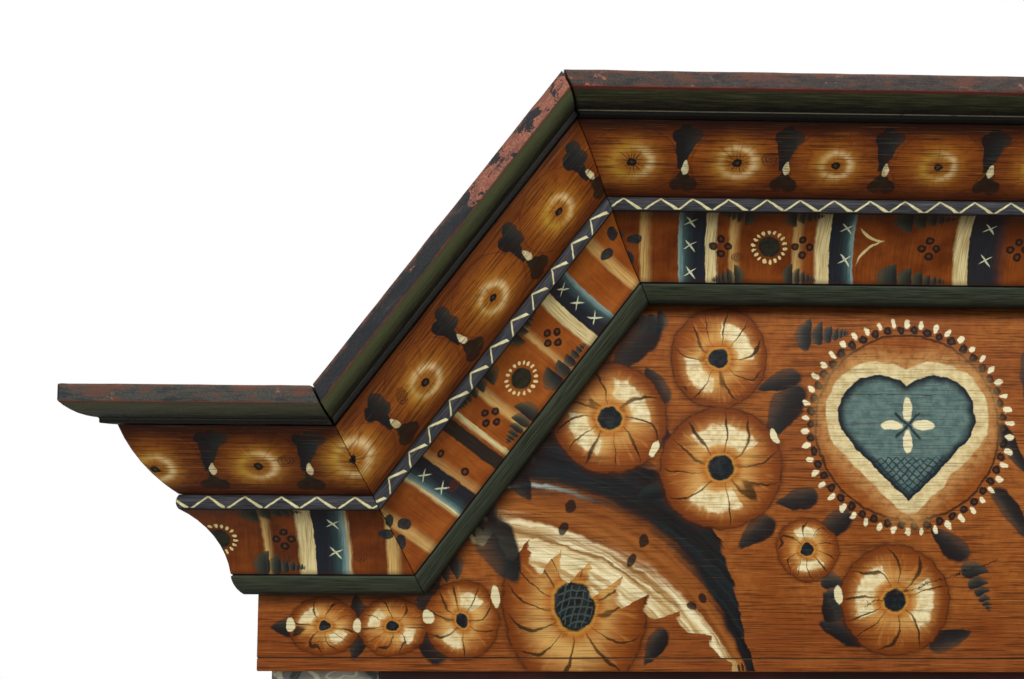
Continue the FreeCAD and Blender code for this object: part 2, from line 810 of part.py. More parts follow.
def door_stiles():
    """Both stiles, grooved for the panels and mortised for the rails' tenons."""
    stiles = []
    for x0, x1, inner, depth in ((door_x0, stile_in, stile_in, -1), (stile_out, door_x1, stile_out, 1)):
        stile = block(x0, x1, door_front, door_back, door_z0, door_z1)
        groove = sorted((inner, inner + depth * panel_groove))
        for z0, z1 in panel_openings:
            stile = stile.cut(block(groove[0], groove[1], groove_front, groove_back,
                                    z0 - panel_groove, z1 + panel_groove))
        mortise = sorted((inner, inner + depth * (tenon_length + panel_play)))
        for z0, z1 in rails:
            stile = stile.cut(tenon_block(mortise, z0, z1, panel_play / 2))
        if depth == 1:
            stile = stile.cut(key_bore(door_front, door_back, key_bore_play))
        stiles.append(one_solid(stile))
    return stiles


def tenon_block(span, z0, z1, play):
    middle = (door_front + door_back) / 2
    return block(span[0], span[1], middle - tenon_thickness / 2 - play, middle + tenon_thickness / 2 + play,
                 z0 + tenon_shoulder - play, z1 - tenon_shoulder + play)


def door_rails():
    """Three rails with tenons, grooved along the edges that meet a panel."""
    made = []
    for z0, z1 in rails:
        rail = block(stile_in, stile_out, door_front, door_back, z0, z1)
        rail = rail.fuse(tenon_block((stile_in - tenon_length, stile_out + tenon_length), z0, z1, 0))
        for low, high in panel_openings:
            if abs(z1 - low) < 1e-6:
                rail = rail.cut(block(stile_in, stile_out, groove_front, groove_back, z1 - panel_groove, z1))
            if abs(z0 - high) < 1e-6:
                rail = rail.cut(block(stile_in, stile_out, groove_front, groove_back, z0, z0 + panel_groove))
        made.append(one_solid(rail.removeSplitter()))
    return made


def door_panels():
    """Fielded panels: thin edges in the grooves, a wide slope, and a raised middle."""
    reach = panel_groove - panel_play
    tongue_front = groove_front + panel_play / 2
    raised_front = tongue_front + panel_tongue - panel_thickness
    panels = []
    for z0, z1 in panel_openings:
        x0, x1, low, high = stile_in - reach, stile_out + reach, z0 - reach, z1 + reach
        edge = block(x0, x1, tongue_front, tongue_front + panel_tongue, low, high)
        slope_from = reach + panel_moulding_width
        slope_to = slope_from + panel_bevel
        field = tapered(inset_ring(x0, x1, low, high, slope_from, tongue_front),
                        inset_ring(x0, x1, low, high, slope_to, raised_front))
        panels.append(one_solid(edge.fuse(field).removeSplitter()))
    return panels


def door_mouldings():
    """Four mitred strips round each panel, nailed to the frame's inner edge."""
    strips = []
    for z0, z1 in panel_openings:
        strips += mitred_frame(stile_in, stile_out, z0, z1)
    return strips


def mitred_frame(x0, x1, z0, z1):
    """Strips in the corner between frame and panel, mitred at the opening's corners."""
    seat = groove_front + panel_play / 2 - seat_gap
    crest = door_front - panel_moulding_rise
    edge = (panel_moulding_width, seat - panel_moulding_edge)
    section = [("start", (seat_gap, seat)),
               ("line", (panel_moulding_width, seat)),
               ("line", edge),
               ("arc", bulged(edge, (panel_moulding_crest, crest), panel_moulding_bulge),
                (panel_moulding_crest, crest)),
               ("line", (seat_gap, crest))]
    right, up = V(1, 0, 0), V(0, 0, 1)
    sides = ((V(x0, 0, z0), right, up), (V(x1, 0, z0), up, right * -1),
             (V(x1, 0, z1), right * -1, up * -1), (V(x0, 0, z1), up * -1, right))
    strips = []
    for start, along, inward in sides:
        length = (x1 - x0) if along.x else (z1 - z0)

        def place(inset, y):
            point = start + inward * inset
            return V(point.x, y, point.z)
        strip = swept(section, place, along * length)
        end = start + along * length
        # each end is cut on the line from the corner at 45 degrees into the opening
        strip = keep_behind(strip, start + along * (mitre_gap / 2), (along * -1 + inward).normalize())
        strip = keep_behind(strip, end - along * (mitre_gap / 2), (along + inward).normalize())
        strips.append(one_solid(strip))
    return strips


def key_bore(y0, y1, play):
    """Round hole for the shank with a slot below it for the bit."""
    hole = clear_bar(iron_sides, key_shank_radius + play, V(key_x, y0 - 1, key_z), V(0, y1 - y0 + 2, 0))
    slot = block(key_x - key_bit_width / 2 - play, key_x + key_bit_width / 2 + play, y0 - 1, y1 + 1,
                 key_z - key_bit_reach - play, key_z)
    return hole.fuse(slot)


# ---------------------------------------------------------------- hinges
def hinge_centres():
    return (door_z0 + hinge_inset, door_z1 - hinge_inset)


def butterfly_leaf(x_knuckle, x_end, z):
    """A flat leaf that flares from the knuckle to a notched end."""
    half, waist = hinge_leaf_height / 2, hinge_leaf_waist / 2
    y0, y1 = case_front - hinge_leaf_thickness, case_front
    side = math.copysign(1, x_end - x_knuckle)
    notch_x = x_end - side * hinge_leaf_notch
    upper = [(notch_x, 0), (x_end, hinge_leaf_tip), (notch_x, half),
             (x_knuckle + side * hinge_leaf_flare, waist), (x_knuckle, waist)]
    lower = [(x, -up) for x, up in reversed(upper[1:])]
    return prism_along_y([(x, z + up) for x, up in lower + upper], y0, y1)


def finial(centre, up):
    """A forged drop on the end of the pin: two eight-sided tapers base to base."""
    half = hinge_finial_length / 2
    steps = ((hinge_finial_neck, -half), (hinge_finial_radius, 0), (hinge_finial_tip, half))
    rings = [ring_of(finial_sides, radius, centre + V(0, 0, up * step)) for radius, step in steps]
    return tapered(rings[0], rings[1]).fuse(tapered(rings[1], rings[2]))


def knuckle(z0, z1):
    return bar(iron_sides, hinge_knuckle_radius, V(hinge_x, hinge_y, z0), V(0, 0, z1 - z0))


def clear_knuckle(leaf, spans):
    """Leaf cut back round the other leaf's knuckles."""
    for z0, z1 in spans:
        leaf = leaf.cut(clear_bar(iron_sides, hinge_knuckle_radius + hinge_face_gap,
                                  V(hinge_x, hinge_y, z0), V(0, 0, z1 - z0)))
    return leaf


def hinge_sides():
    """For each hinge on the left door: the frame's leaf with its pin, and the door's leaf."""
    frame_leaves = []
    door_leaves = []
    third = hinge_knuckle_height / 3
    leaf_from_pin = door_gap / 2 + hinge_leaf_step
    bore = hinge_pin_radius + hinge_running_gap
    for z in hinge_centres():
        low, high = z - third / 2, z + third / 2
        ends = ((low - third, low - hinge_face_gap), (high + hinge_face_gap, high + third))
        finial_at = 1.5 * third + hinge_face_gap + hinge_finial_length / 2
        pin = bar(iron_sides, hinge_pin_radius, V(hinge_x, hinge_y, z - finial_at), V(0, 0, 2 * finial_at))
        finials = [finial(V(hinge_x, hinge_y, z + up * finial_at), up) for up in (-1, 1)]
        plate = butterfly_leaf(hinge_x - leaf_from_pin, hinge_x - hinge_leaf_width, z)
        plate = clear_knuckle(plate, [(low - third - 1, low), (high, high + third + 1)])
        web = block(hinge_x - hinge_knuckle_radius, hinge_x - leaf_from_pin, hinge_y, case_front, low, high)
        frame_leaf = knuckle(low, high).fuse(web).multiFuse([plate, pin] + finials)
        frame_leaves.append(one_solid(frame_leaf))
        plate = butterfly_leaf(hinge_x + leaf_from_pin, hinge_x + hinge_leaf_width, z)
        plate = clear_knuckle(plate, [(low - hinge_face_gap, high + hinge_face_gap)])
        door_leaf = plate
        for z0, z1 in ends:
            web = block(hinge_x + leaf_from_pin, hinge_x + hinge_knuckle_radius, hinge_y, case_front,
                        max(z0, z - hinge_leaf_waist / 2), min(z1, z + hinge_leaf_waist / 2))
            door_leaf = door_leaf.fuse(web).fuse(knuckle(z0, z1))
            door_leaf = door_leaf.cut(clear_bar(iron_sides, bore, V(hinge_x, hinge_y, z0 - 1),
                                                V(0, 0, z1 - z0 + 2)))
        door_leaves.append(one_solid(door_leaf))
    return frame_leaves, door_leaves


# ---------------------------------------------------------------- locks
lock_x1 = door_x1 - lock_edge
lock_x0 = lock_x1 - lock_width
lock_z0 = key_z - lock_below_key
lock_z1 = lock_z0 + lock_height
bolt_z0 = key_z + bolt_rise
bolt_y0 = frame_back + bolt_behind_post


def lock_parts():
    """Box lock behind the stile, its bolt and key, and the escutcheon in front."""
    case = block(lock_x0, lock_x1, door_back, door_back + lock_depth, lock_z0, lock_z1)
    case = case.cut(block(lock_x0 + lock_wall, lock_x1 - lock_wall, door_back + lock_wall,
                          door_back + lock_depth - lock_wall, lock_z0 + lock_wall, lock_z1 - lock_wall))
    case = case.cut(block(lock_x1 - lock_wall - 1, lock_x1 + 1,
                          bolt_y0 - bolt_play, bolt_y0 + bolt_thickness + bolt_play,
                          bolt_z0 - bolt_play, bolt_z0 + bolt_height + bolt_play))
    case = case.cut(key_bore(door_back, door_back + lock_wall, key_plate_play))
    bolt = block(lock_x1 - bolt_length, lock_x1, bolt_y0, bolt_y0 + bolt_thickness,
                 bolt_z0, bolt_z0 + bolt_height)
    notch_x = key_x - bolt_throw / 2
    bolt = bolt.cut(block(notch_x - bolt_notch_width / 2, notch_x + bolt_notch_width / 2, bolt_y0 - 1,
                          bolt_y0 + bolt_thickness + 1, bolt_z0 - 1, bolt_z0 + bolt_notch_depth))
    return {"lock": [escutcheon(), one_solid(case)], "lock_bolt": [bolt], "key": [key()]}


def escutcheon():
    """A pointed oval plate of iron with the key's hole."""
    y0, y1 = door_front - escutcheon_thickness, door_front
    half_w, half_h = escutcheon_width / 2, escutcheon_height / 2

    def place(x, z):
        return V(key_x + x, y0, key_z + z)
    top, low = (0, half_h), (0, -half_h)
    outline = [("start", top),
               ("arc", (half_w * 0.62, half_h * 0.55), (half_w, 0)),
               ("arc", (half_w * 0.62, -half_h * 0.55), low),
               ("arc", (-half_w * 0.62, -half_h * 0.55), (-half_w, 0)),
               ("arc", (-half_w * 0.62, half_h * 0.55), top)]
    plate = swept(outline, place, V(0, y1 - y0, 0))
    return one_solid(plate.cut(key_bore(y0, y1, key_plate_play)))


def key():
    """Round shank through the stile, a bit inside the lock and a ring bow outside."""
    tip = door_back + lock_depth - lock_wall - bolt_play
    bow_y = door_front - key_stand_out
    shank_start = bow_y + key_bow_hole
    centre = V(key_x, 0, key_z)
    forward, across = V(0, 1, 0), V(key_bow_thickness, 0, 0)
    shank = bar(iron_sides, key_shank_radius, centre + forward * shank_start, forward * (tip - shank_start))
    collar_start = bow_y + key_bow_radius
    collar = bar(iron_sides, key_collar_radius, centre + forward * collar_start, forward * key_collar_length)
    bow_side = centre + forward * bow_y - across / 2
    bow = bar(key_bow_sides, key_bow_radius, bow_side, across)
    bow = bow.fuse(shank).cut(bar(key_bow_sides, key_bow_hole, bow_side, across))
    bit = block(key_x - key_bit_width / 2, key_x + key_bit_width / 2, tip - key_bit_depth, tip,
                key_z - key_bit_reach, key_z)
    return one_solid(bow.multiFuse([collar, bit]))


def door_nodes():
    frame_leaves, door_leaves = hinge_sides()
    left = {"stiles": door_stiles(), "rails": door_rails(), "panels": door_panels(),
            "mouldings": door_mouldings(), "hinges": door_leaves}
    left.update(lock_parts())
    nodes = {"hinge_frame_leaves": frame_leaves + [mirrored(s) for s in frame_leaves]}
    for part, solids in left.items():
        nodes[f"door_left_{part}"] = solids
        nodes[f"door_right_{part}"] = [mirrored(s) for s in solids]
    return nodes


# ---------------------------------------------------------------- build
def all_nodes():
    nodes = {}
    nodes.update(cornice_member("cornice_slab", slab_section()))
    nodes.update(cornice_member("cornice_ovolo", ovolo_section()))
    nodes.update(cornice_member("cornice_frieze", frieze_section()))
    nodes.update(crown_boards())
    nodes.update(case_parts())
    nodes.update(drawer_parts())
    nodes.update(door_nodes())
    return nodes


def main():
    os.makedirs("parts", exist_ok=True)
    for name, solids in all_nodes().items():
        shape = Part.makeCompound(solids) if len(solids) > 1 else solids[0]
        bad = [s for s in shape.Solids if not s.isValid() or s.Volume <= 0]
        print(f"{name:28s} solids {len(shape.Solids)}  volume {shape.Volume / 1000:10.1f} cm3"
              + ("  INVALID" if bad or not shape.Solids else ""))
        shape.exportStep(f"parts/{name}.step")


main()
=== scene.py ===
import json
import math

import bpy
from mathutils import Matrix, Vector

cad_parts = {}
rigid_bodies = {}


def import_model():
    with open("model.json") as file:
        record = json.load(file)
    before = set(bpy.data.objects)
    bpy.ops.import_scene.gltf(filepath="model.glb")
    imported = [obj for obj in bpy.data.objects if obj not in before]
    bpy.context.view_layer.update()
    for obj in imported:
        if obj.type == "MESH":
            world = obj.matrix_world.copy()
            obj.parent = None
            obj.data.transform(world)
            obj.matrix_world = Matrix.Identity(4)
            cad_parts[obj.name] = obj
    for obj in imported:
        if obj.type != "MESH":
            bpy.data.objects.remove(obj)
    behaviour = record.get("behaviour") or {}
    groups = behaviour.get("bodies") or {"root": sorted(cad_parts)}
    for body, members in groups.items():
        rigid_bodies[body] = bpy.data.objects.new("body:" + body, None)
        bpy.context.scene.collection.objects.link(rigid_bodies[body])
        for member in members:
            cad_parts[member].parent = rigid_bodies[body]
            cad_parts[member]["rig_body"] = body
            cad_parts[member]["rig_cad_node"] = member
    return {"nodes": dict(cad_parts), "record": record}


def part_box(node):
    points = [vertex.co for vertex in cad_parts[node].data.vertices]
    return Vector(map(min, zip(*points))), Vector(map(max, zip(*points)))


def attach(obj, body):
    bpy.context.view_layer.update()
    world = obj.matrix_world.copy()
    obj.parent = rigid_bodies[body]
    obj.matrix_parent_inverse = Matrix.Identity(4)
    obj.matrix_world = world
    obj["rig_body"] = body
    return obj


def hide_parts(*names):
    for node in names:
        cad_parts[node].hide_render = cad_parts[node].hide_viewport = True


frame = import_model()
nodes = frame["nodes"]
bodyOf = {node: body for body, members in frame["record"]["behaviour"]["bodies"].items() for node in members}
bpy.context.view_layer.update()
print("frame loaded:", len(nodes), "nodes")

studio = {
    "lens": 45.88,
    "film": 36,
    "nearest": 0.02,
    "spot": (-0.4934, -1.30335, 1.8158),  # a little over a metre in front of the crown
    "turnRight": 0.0322,
    "lookUp": 0.0922,
    "lean": 0.0064,
    "floorSize": 60,
    "paper": ("ebeae8", "e6e5e2"),
    "fade": (1, 4.2),
    "skyTint": (0.97, 0.98, 1, 1),
    "skyLight": 0.36,
    "lamps": [  # place, aim, size, watts
        ((0.5, -2.8, 3.9), (-0.3, 0, 1.6), 1.5, 112),
        ((-3, -2.6, 2), (0, 0, 1.3), 2.4, 40),
        ((2.6, 2.8, 3.2), (0, 0, 1), 2.4, 85),
        ((-2.4, 3, 2.6), (0, 0, 1), 2.4, 62),
    ],
}


def rgb(code):
    parts = [int(code[i:i + 2], 16) / 255 for i in (0, 2, 4)]
    return (*[p / 12.92 if p <= 0.04045 else ((p + 0.055) / 1.055) ** 2.4 for p in parts], 1)


class Finish:
    # one finish's node tree, with short words for the nodes that paint it
    def __init__(self, name, owner=None):
        self.material = owner or bpy.data.materials.new(name)
        self.material.use_nodes = True
        self.tree = self.material.node_tree
        self.tree.nodes.clear()
        self.place = self.add("ShaderNodeTexCoord").outputs["Object"]
        self.colour = None
        self.relief = None

    def add(self, kind, **settings):
        node = self.tree.nodes.new(kind)
        for key, value in settings.items():
            setattr(node, key, value)
        return node

    def fill(self, kind, *values, **settings):
        node = self.add(kind, **settings)
        for socket, value in zip(node.inputs, values):
            self.put(socket, value)
        return node

    def put(self, socket, value):
        if isinstance(value, bpy.types.NodeSocket):
            self.tree.links.new(value, socket)
        elif value is not None:
            socket.default_value = rgb(value) if isinstance(value, str) else value

    def maths(self, operation, first, second=0, third=0):
        return self.fill("ShaderNodeMath", first, second, third, operation=operation).outputs[0]

    def vector(self, operation, first, second=(0, 0, 0), third=None, scale=None):
        node = self.fill("ShaderNodeVectorMath", first, second, third, scale, operation=operation)
        return node.outputs[1 if operation in ("DOT_PRODUCT", "LENGTH", "DISTANCE") else 0]

    def ramp(self, value, low, high, start=0, end=1, kind="LINEAR"):
        node = self.fill("ShaderNodeMapRange", value, low, high, start, end, interpolation_type=kind)
        return node.outputs[0]

    def ease(self, *numbers):
        return self.ramp(*numbers, kind="SMOOTHSTEP")

    def parts(self, value):
        return self.fill("ShaderNodeSeparateXYZ", value).outputs

    def join(self, x, y, z=0):
        return self.fill("ShaderNodeCombineXYZ", x, y, z).outputs[0]

    def noise(self, where, scale, detail=2, rough=0.5, distortion=0, colour=False):
        node = self.add("ShaderNodeTexNoise")
        words = ("Vector", "Scale", "Detail", "Roughness", "Distortion")
        for word, value in zip(words, (where, scale, detail, rough, distortion)):
            self.put(node.inputs[word], value)
        return node.outputs[1 if colour else 0]

    def shake(self, where, amount, *cloud):  # the place, moved about by a cloud's colours
        moved = self.vector("SUBTRACT", self.noise(*cloud, colour=True), (0.5, 0.5, 0.5))
        return self.vector("MULTIPLY_ADD", moved, amount, where)

    def chance(self, value):
        node = self.add("ShaderNodeTexWhiteNoise", noise_dimensions="1D")
        self.put(node.inputs["W"], value)
        return node.outputs["Value"]

    def mix(self, share, under, over):
        node = self.add("ShaderNodeMix", data_type="RGBA")
        self.put(node.inputs[0], share)
        self.put(node.inputs[6], under)
        self.put(node.inputs[7], over)
        return node.outputs[2]

    def choose(self, share, under, over):
        node = self.add("ShaderNodeMix", data_type="VECTOR")
        self.put(node.inputs[0], share)
        self.put(node.inputs[4], under)
        self.put(node.inputs[5], over)
        return node.outputs[1]

    def lay(self, mask, colour, strength=1):  # one more coat over what is there
        if strength != 1:
            mask = self.both(mask, strength)
        self.colour = self.mix(mask, self.colour, colour)

    def coat(self, value, low, high, colour, strength=1):  # nothing at low, full at high
        self.lay(self.ease(value, low, high), colour, strength)

    def blend(self, value, low, high, under, over):
        return self.mix(self.ease(value, low, high), under, over)

    def both(self, first, second):
        return self.maths("MULTIPLY", first, second)

    def over(self, first, second):
        return self.maths("DIVIDE", first, second)

    def more(self, first, second):
        return self.maths("ADD", first, second)

    def less(self, first, second):
        return self.maths("SUBTRACT", first, second)

    def least(self, first, second):
        return self.maths("MINIMUM", first, second)

    def most(self, first, second):
        return self.maths("MAXIMUM", first, second)

    def fold(self, value, half):  # to and fro between nought and the half
        return self.maths("PINGPONG", value, half)

    def line(self, value, slope, start):
        return self.maths("MULTIPLY_ADD", value, slope, start)

    def whole(self, value):
        return self.maths("ROUND", value)

    def unsigned(self, value):
        return self.maths("ABSOLUTE", value)

    def wander(self, cloud, amount, value):  # the value, shaken by a cloud
        return self.line(self.less(cloud, 0.5), amount, value)

    def length(self, value):
        return self.vector("LENGTH", value)

    def distance(self, first, second):
        return self.vector("DISTANCE", first, second)

    def unfold(self):  # millimetres, with the two halves of the crown laid on each other
        spread = self.vector("MULTIPLY", self.place, (1000, -1000, 1000))
        x, y, z = self.parts(spread)
        return self.join(self.unsigned(x), y, z)

    def bar(self, value, low, high, lowSoft=0.5, highSoft=0.5):
        rise = self.ease(value, low - lowSoft, low + lowSoft)
        fall = self.ease(value, high + highSoft, high - highSoft)
        return self.both(rise, fall)

    def nearest(self, value, rows):
        # signed distance to the nearest row's first figure, then that row's figures
        rows = sorted(rows)
        found = list(rows[0])
        for low, high in zip(rows, rows[1:]):
            past = self.maths("GREATER_THAN", value, (low[0] + high[0]) / 2)
            found = [spot if a == b else self.line(past, b - a, spot) for a, b, spot in zip(low, high, found)]
        return (self.less(value, found[0]), *found)

    def local(self, here, centre, size, turn=0, seed=0):  # a motif's own frame, one unit to its edge
        node = self.add("ShaderNodeMapping", vector_type="TEXTURE")
        self.put(node.inputs["Vector"], here)
        node.inputs["Location"].default_value = (centre[0], centre[1], -seed)
        node.inputs["Rotation"].default_value = (0, 0, math.radians(turn))
        node.inputs["Scale"].default_value = (size[0], size[1], 1)
        return node.outputs[0]

    def done(self, roughness=0.5, shine=0.3, bump=0.3, depth=0.0006, metal=0):
        shader = self.add("ShaderNodeBsdfPrincipled")
        self.put(shader.inputs["Base Color"], self.colour)
        self.put(shader.inputs["Roughness"], roughness)
        self.put(shader.inputs["Metallic"], metal)
        shader.inputs["Specular IOR Level"].default_value = shine
        if self.relief is not None:
            node = self.add("ShaderNodeBump")
            node.inputs["Strength"].default_value = bump
            node.inputs["Distance"].default_value = depth
            self.put(node.inputs["Height"], self.relief)
            self.put(shader.inputs["Normal"], node.outputs[0])
        end = self.add("ShaderNodeOutputMaterial")
        self.put(end.inputs["Surface"], shader.outputs[0])
        return self.material


def activate(piece):
    bpy.ops.object.select_all(action="DESELECT")
    piece.select_set(True)
    bpy.context.view_layer.objects.active = piece


def stage():
    activate(next(iter(nodes.values())))
    bpy.ops.object.select_all(action="DESELECT")
    bpy.ops.mesh.primitive_plane_add(size=studio["floorSize"], location=(0, 0, 0))
    floor = bpy.context.object
    floor.name = "studioFloor"
    paper = Finish("studioPaper")
    paper.colour = paper.blend(paper.noise(paper.place, 1.5), 0.3, 0.7, *studio["paper"])
    floor.data.materials.append(paper.done(0.8, 0.1))
    # far out the paper runs into the white behind it
    far = paper.ease(paper.length(paper.place), *studio["fade"])
    looked = paper.both(far, paper.add("ShaderNodeLightPath").outputs["Is Camera Ray"])
    white = paper.add("ShaderNodeEmission").outputs[0]
    end = next(n for n in paper.tree.nodes if n.type == "OUTPUT_MATERIAL").inputs["Surface"]
    paper.put(end, paper.fill("ShaderNodeMixShader", looked, end.links[0].from_socket, white).outputs[0])
    for place, aim, size, watts in studio["lamps"]:
        bpy.ops.object.light_add(type="AREA", location=place)
        lamp = bpy.context.object
        lamp.data.shape = "DISK"
        lamp.data.size = size
        lamp.data.energy = watts
        lamp.rotation_euler = (Vector(aim) - Vector(place)).to_track_quat("-Z", "Y").to_euler()
    # plain white to the eye, a softer light on the piece
    sky = Finish("studioSky", owner=bpy.data.worlds.new("studioSky"))
    bpy.context.scene.world = sky.material
    path = sky.add("ShaderNodeLightPath").outputs
    seen = sky.most(sky.most(path["Is Camera Ray"], path["Is Glossy Ray"]), path["Is Transmission Ray"])
    glow = sky.fill("ShaderNodeBackground", studio["skyTint"], studio["skyLight"])
    plain = sky.fill("ShaderNodeBackground", (1, 1, 1, 1), 1)
    blend = sky.fill("ShaderNodeMixShader", seen, glow.outputs[0], plain.outputs[0])
    sky.fill("ShaderNodeOutputWorld", blend.outputs[0])
    bpy.context.scene.view_settings.view_transform = "Standard"

    camera = bpy.data.objects.new("studioCamera", bpy.data.cameras.new("studioCamera"))
    bpy.context.scene.collection.objects.link(camera)
    camera.data.lens = studio["lens"]
    camera.data.sensor_width = studio["film"]
    camera.data.clip_start = studio["nearest"]
    camera.matrix_world = (
        Matrix.Translation(Vector(studio["spot"]))
        @ Matrix.Rotation(-studio["turnRight"], 4, "Z")
        @ Matrix.Rotation(math.pi / 2 + studio["lookUp"], 4, "X")
        @ Matrix.Rotation(studio["lean"], 4, "Z")
    )
    bpy.context.scene.camera = camera


stage()
print("stage, lamps and camera set")


facets = {"weld": 0.00001, "flat": 0.4}  # metres, degrees


def copyOf(node):
    activate(nodes[node])
    bpy.ops.object.duplicate()
    piece = bpy.context.object
    first, *others = node.split("_")
    piece.name = piece.data.name = first + "".join(word.capitalize() for word in others)
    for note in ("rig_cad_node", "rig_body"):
        del piece[note]
    bpy.ops.object.parent_clear(type="CLEAR_KEEP_TRANSFORM")
    bpy.ops.object.mode_set(mode="EDIT")
    bpy.ops.mesh.select_all(action="SELECT")
    bpy.ops.mesh.remove_doubles(threshold=facets["weld"])
    bpy.ops.mesh.dissolve_limited(angle_limit=math.radians(facets["flat"]))
    bpy.ops.object.mode_set(mode="OBJECT")
    return piece


def softenEdges(piece, width, segments=2, angle=32):
    activate(piece)
    bpy.ops.object.modifier_add(type="BEVEL")
    bevel = piece.modifiers[-1]
    bevel.width = width
    bevel.segments = segments
    bevel.limit_method = "ANGLE"
    bevel.angle_limit = math.radians(angle)
    bpy.ops.object.modifier_apply(modifier=bevel.name)


def sliceAlong(piece, direction, step):
    direction = Vector(direction).normalized()
    reach = [v.co.dot(direction) for v in piece.data.vertices]
    spot = min(reach) + step * 0.6
    activate(piece)
    bpy.ops.object.mode_set(mode="EDIT")
    while spot < max(reach) - step * 0.4:
        bpy.ops.mesh.select_all(action="SELECT")
        bpy.ops.mesh.bisect(plane_co=direction * spot, plane_no=direction)
        spot += step
    bpy.ops.object.mode_set(mode="OBJECT")


def roughen(piece, strength, scale, members):
    activate(piece)
    cloud = bpy.data.textures.new(piece.name + "Cloud", "CLOUDS")
    cloud.noise_scale = scale
    bpy.ops.object.modifier_add(type="DISPLACE")
    push = piece.modifiers[-1]
    push.texture = cloud
    push.texture_coords = "LOCAL"
    push.strength = strength
    push.mid_level = 1  # it only wears down
    piece.vertex_groups.new(name="worn").add(members, 1, "REPLACE")
    push.vertex_group = "worn"
    bpy.ops.object.modifier_apply(modifier=push.name)
    piece.vertex_groups.clear()


def secondFinish(piece, finish, where):
    piece.data.materials.append(finish)
    for face in piece.data.polygons:
        if where(face.normal, face.center):
            face.material_index = 1


def standIn(piece, node, finish, smooth=30):
    piece.data.materials.clear()
    piece.data.materials.append(finish)
    activate(piece)
    bpy.ops.object.shade_smooth_by_angle(angle=math.radians(smooth))
    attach(piece, bodyOf[node])
    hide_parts(node)


# the cornice: three members over seven runs, each painted in its run's own measure
rake = math.radians(52.62)
runs = {
    "top": {"origin": (0, 1949), "lean": 0},
    "flat": {"origin": (0, 1704), "lean": 0},
    "rake": {"origin": (-529, 1704), "lean": rake},
    "side": {"origin": (0, 1704), "lean": None, "fold": (232, 292, 52)},
}
crownFront = 194.1
crownHalf = 668
members = {  # out and height of each member's two edges, square to the run
    "slab": (131.8, 153.5, 131.8, 167.2),
    "ovolo": (56, 83.2, 95.8, 137.4),
    "frieze": (19.9, 17.4, 56, 71.6),
}


def onRun(f, run, member):
    # returns the place along the run, up the member's face, and the height above the run's foot
    out, foot, outTop, top = members[member]
    span = math.hypot(outTop - out, top - foot)
    outShare, upShare = (outTop - out) / span, (top - foot) / span
    startX, startZ = runs[run]["origin"]
    lean = runs[run]["lean"]
    folded = f.unfold()
    if lean is None:
        y = f.vector("DOT_PRODUCT", folded, (0, 1, 0))
        away, length, shift = runs[run]["fold"]
        along = f.less(f.both(f.fold(f.less(y, away), length), -1), shift)
        height = f.less(f.vector("DOT_PRODUCT", folded, (0, 0, 1)), startZ)
        reach = f.less(f.vector("DOT_PRODUCT", folded, (1, 0, 0)), crownHalf)
    else:
        c, s = math.cos(lean), math.sin(lean)
        along = f.vector("DOT_PRODUCT", folded, (-c, 0, s))
        along = f.less(along, startX * c + startZ * s)
        height = f.vector("DOT_PRODUCT", folded, (s, 0, c))
        height = f.less(height, -startX * s + startZ * c)
        reach = f.less(f.vector("DOT_PRODUCT", folded, (0, 1, 0)), crownFront)
    up = f.line(reach, outShare, -out * outShare - foot * upShare)
    up = f.line(height, upShare, up)
    return along, up, height


def brushed(f, along, up, length=60, width=1.3, detail=3):
    # streaks that run with the brush and the grain
    return f.noise(f.join(f.over(along, length), f.over(up, width)), 1, detail, 0.6)


def wavering(f, along, up, amount=1.1):
    # the unsteady hand: a slow drift with a ragged edge on it
    here = f.join(along, up)
    shaken = f.shake(here, (amount * 4, amount * 4, 0), here, 0.11, 5, 0.6)
    x, y, _ = f.parts(shaken)
    return shaken, x, y


def aged(f, along, up, dark="1c0c05", light="b58a52", strength=0.5, width=0.6):
    # hair lines with the grain, pits, and chips down to the ground
    line = brushed(f, along, up, 46, width, 2)
    f.coat(line, 0.50, 0.64, dark, strength)
    f.coat(line, 0.42, 0.26, light, strength * 0.16)
    here = f.join(along, up)
    f.coat(f.noise(here, 0.42, 2, 0.6), 0.70, 0.77, dark, 0.75)
    f.coat(f.noise(f.vector("ADD", here, (311, 47, 0)), 0.30, 3, 0.7), 0.72, 0.76, light, 0.55)


def around(f, where):
    x, y, _ = f.parts(where)
    return f.maths("ARCTAN2", y, x)


def blobs(f, here, rounds):
    # signed distance to a few round dabs run together
    far = None
    for x, y, size in rounds:
        one = f.less(f.distance(here, (x, y, 0)), size)
        far = one if far is None else f.maths("SMOOTH_MIN", far, one, 2)
    return far


def stroke(f, here, start, end, thick, sag=0):
    # one tapered brush stroke, one unit out to its edge
    (x0, y0), (x1, y1) = start, end
    turn = math.degrees(math.atan2(y1 - y0, x1 - x0))
    there = f.local(here, ((x0 + x1) / 2, (y0 + y1) / 2), (math.hypot(x1 - x0, y1 - y0) / 2, thick), turn)
    if sag:
        lx, ly, _ = f.parts(there)
        bend = f.line(f.both(lx, lx), -sag / thick, sag / thick)
        there = f.join(lx, f.more(ly, bend))
    return f.length(there)


def ringed(f, far, outer, inner, dark, light, strength=0.75):
    # a dark round with a warm middle
    f.coat(far, *outer, dark, 0.95)
    f.coat(far, *inner, light, strength)


def knot(f, here, place, wide, tall, turn, cloud):
    # a knot in the wood showing through: ragged rings about a dark eye
    r = f.length(f.local(here, place, (wide, tall), turn))
    r = f.wander(cloud, 0.7, r)
    rings = f.fold(f.both(r, 2.6), 0.5)
    f.coat(r, 1.15, 0.8, "54260f", 0.45)
    f.lay(f.both(f.ease(rings, 0.26, 0.44), f.ease(r, 1.1, 0.95)), "1c0f09", 0.7)


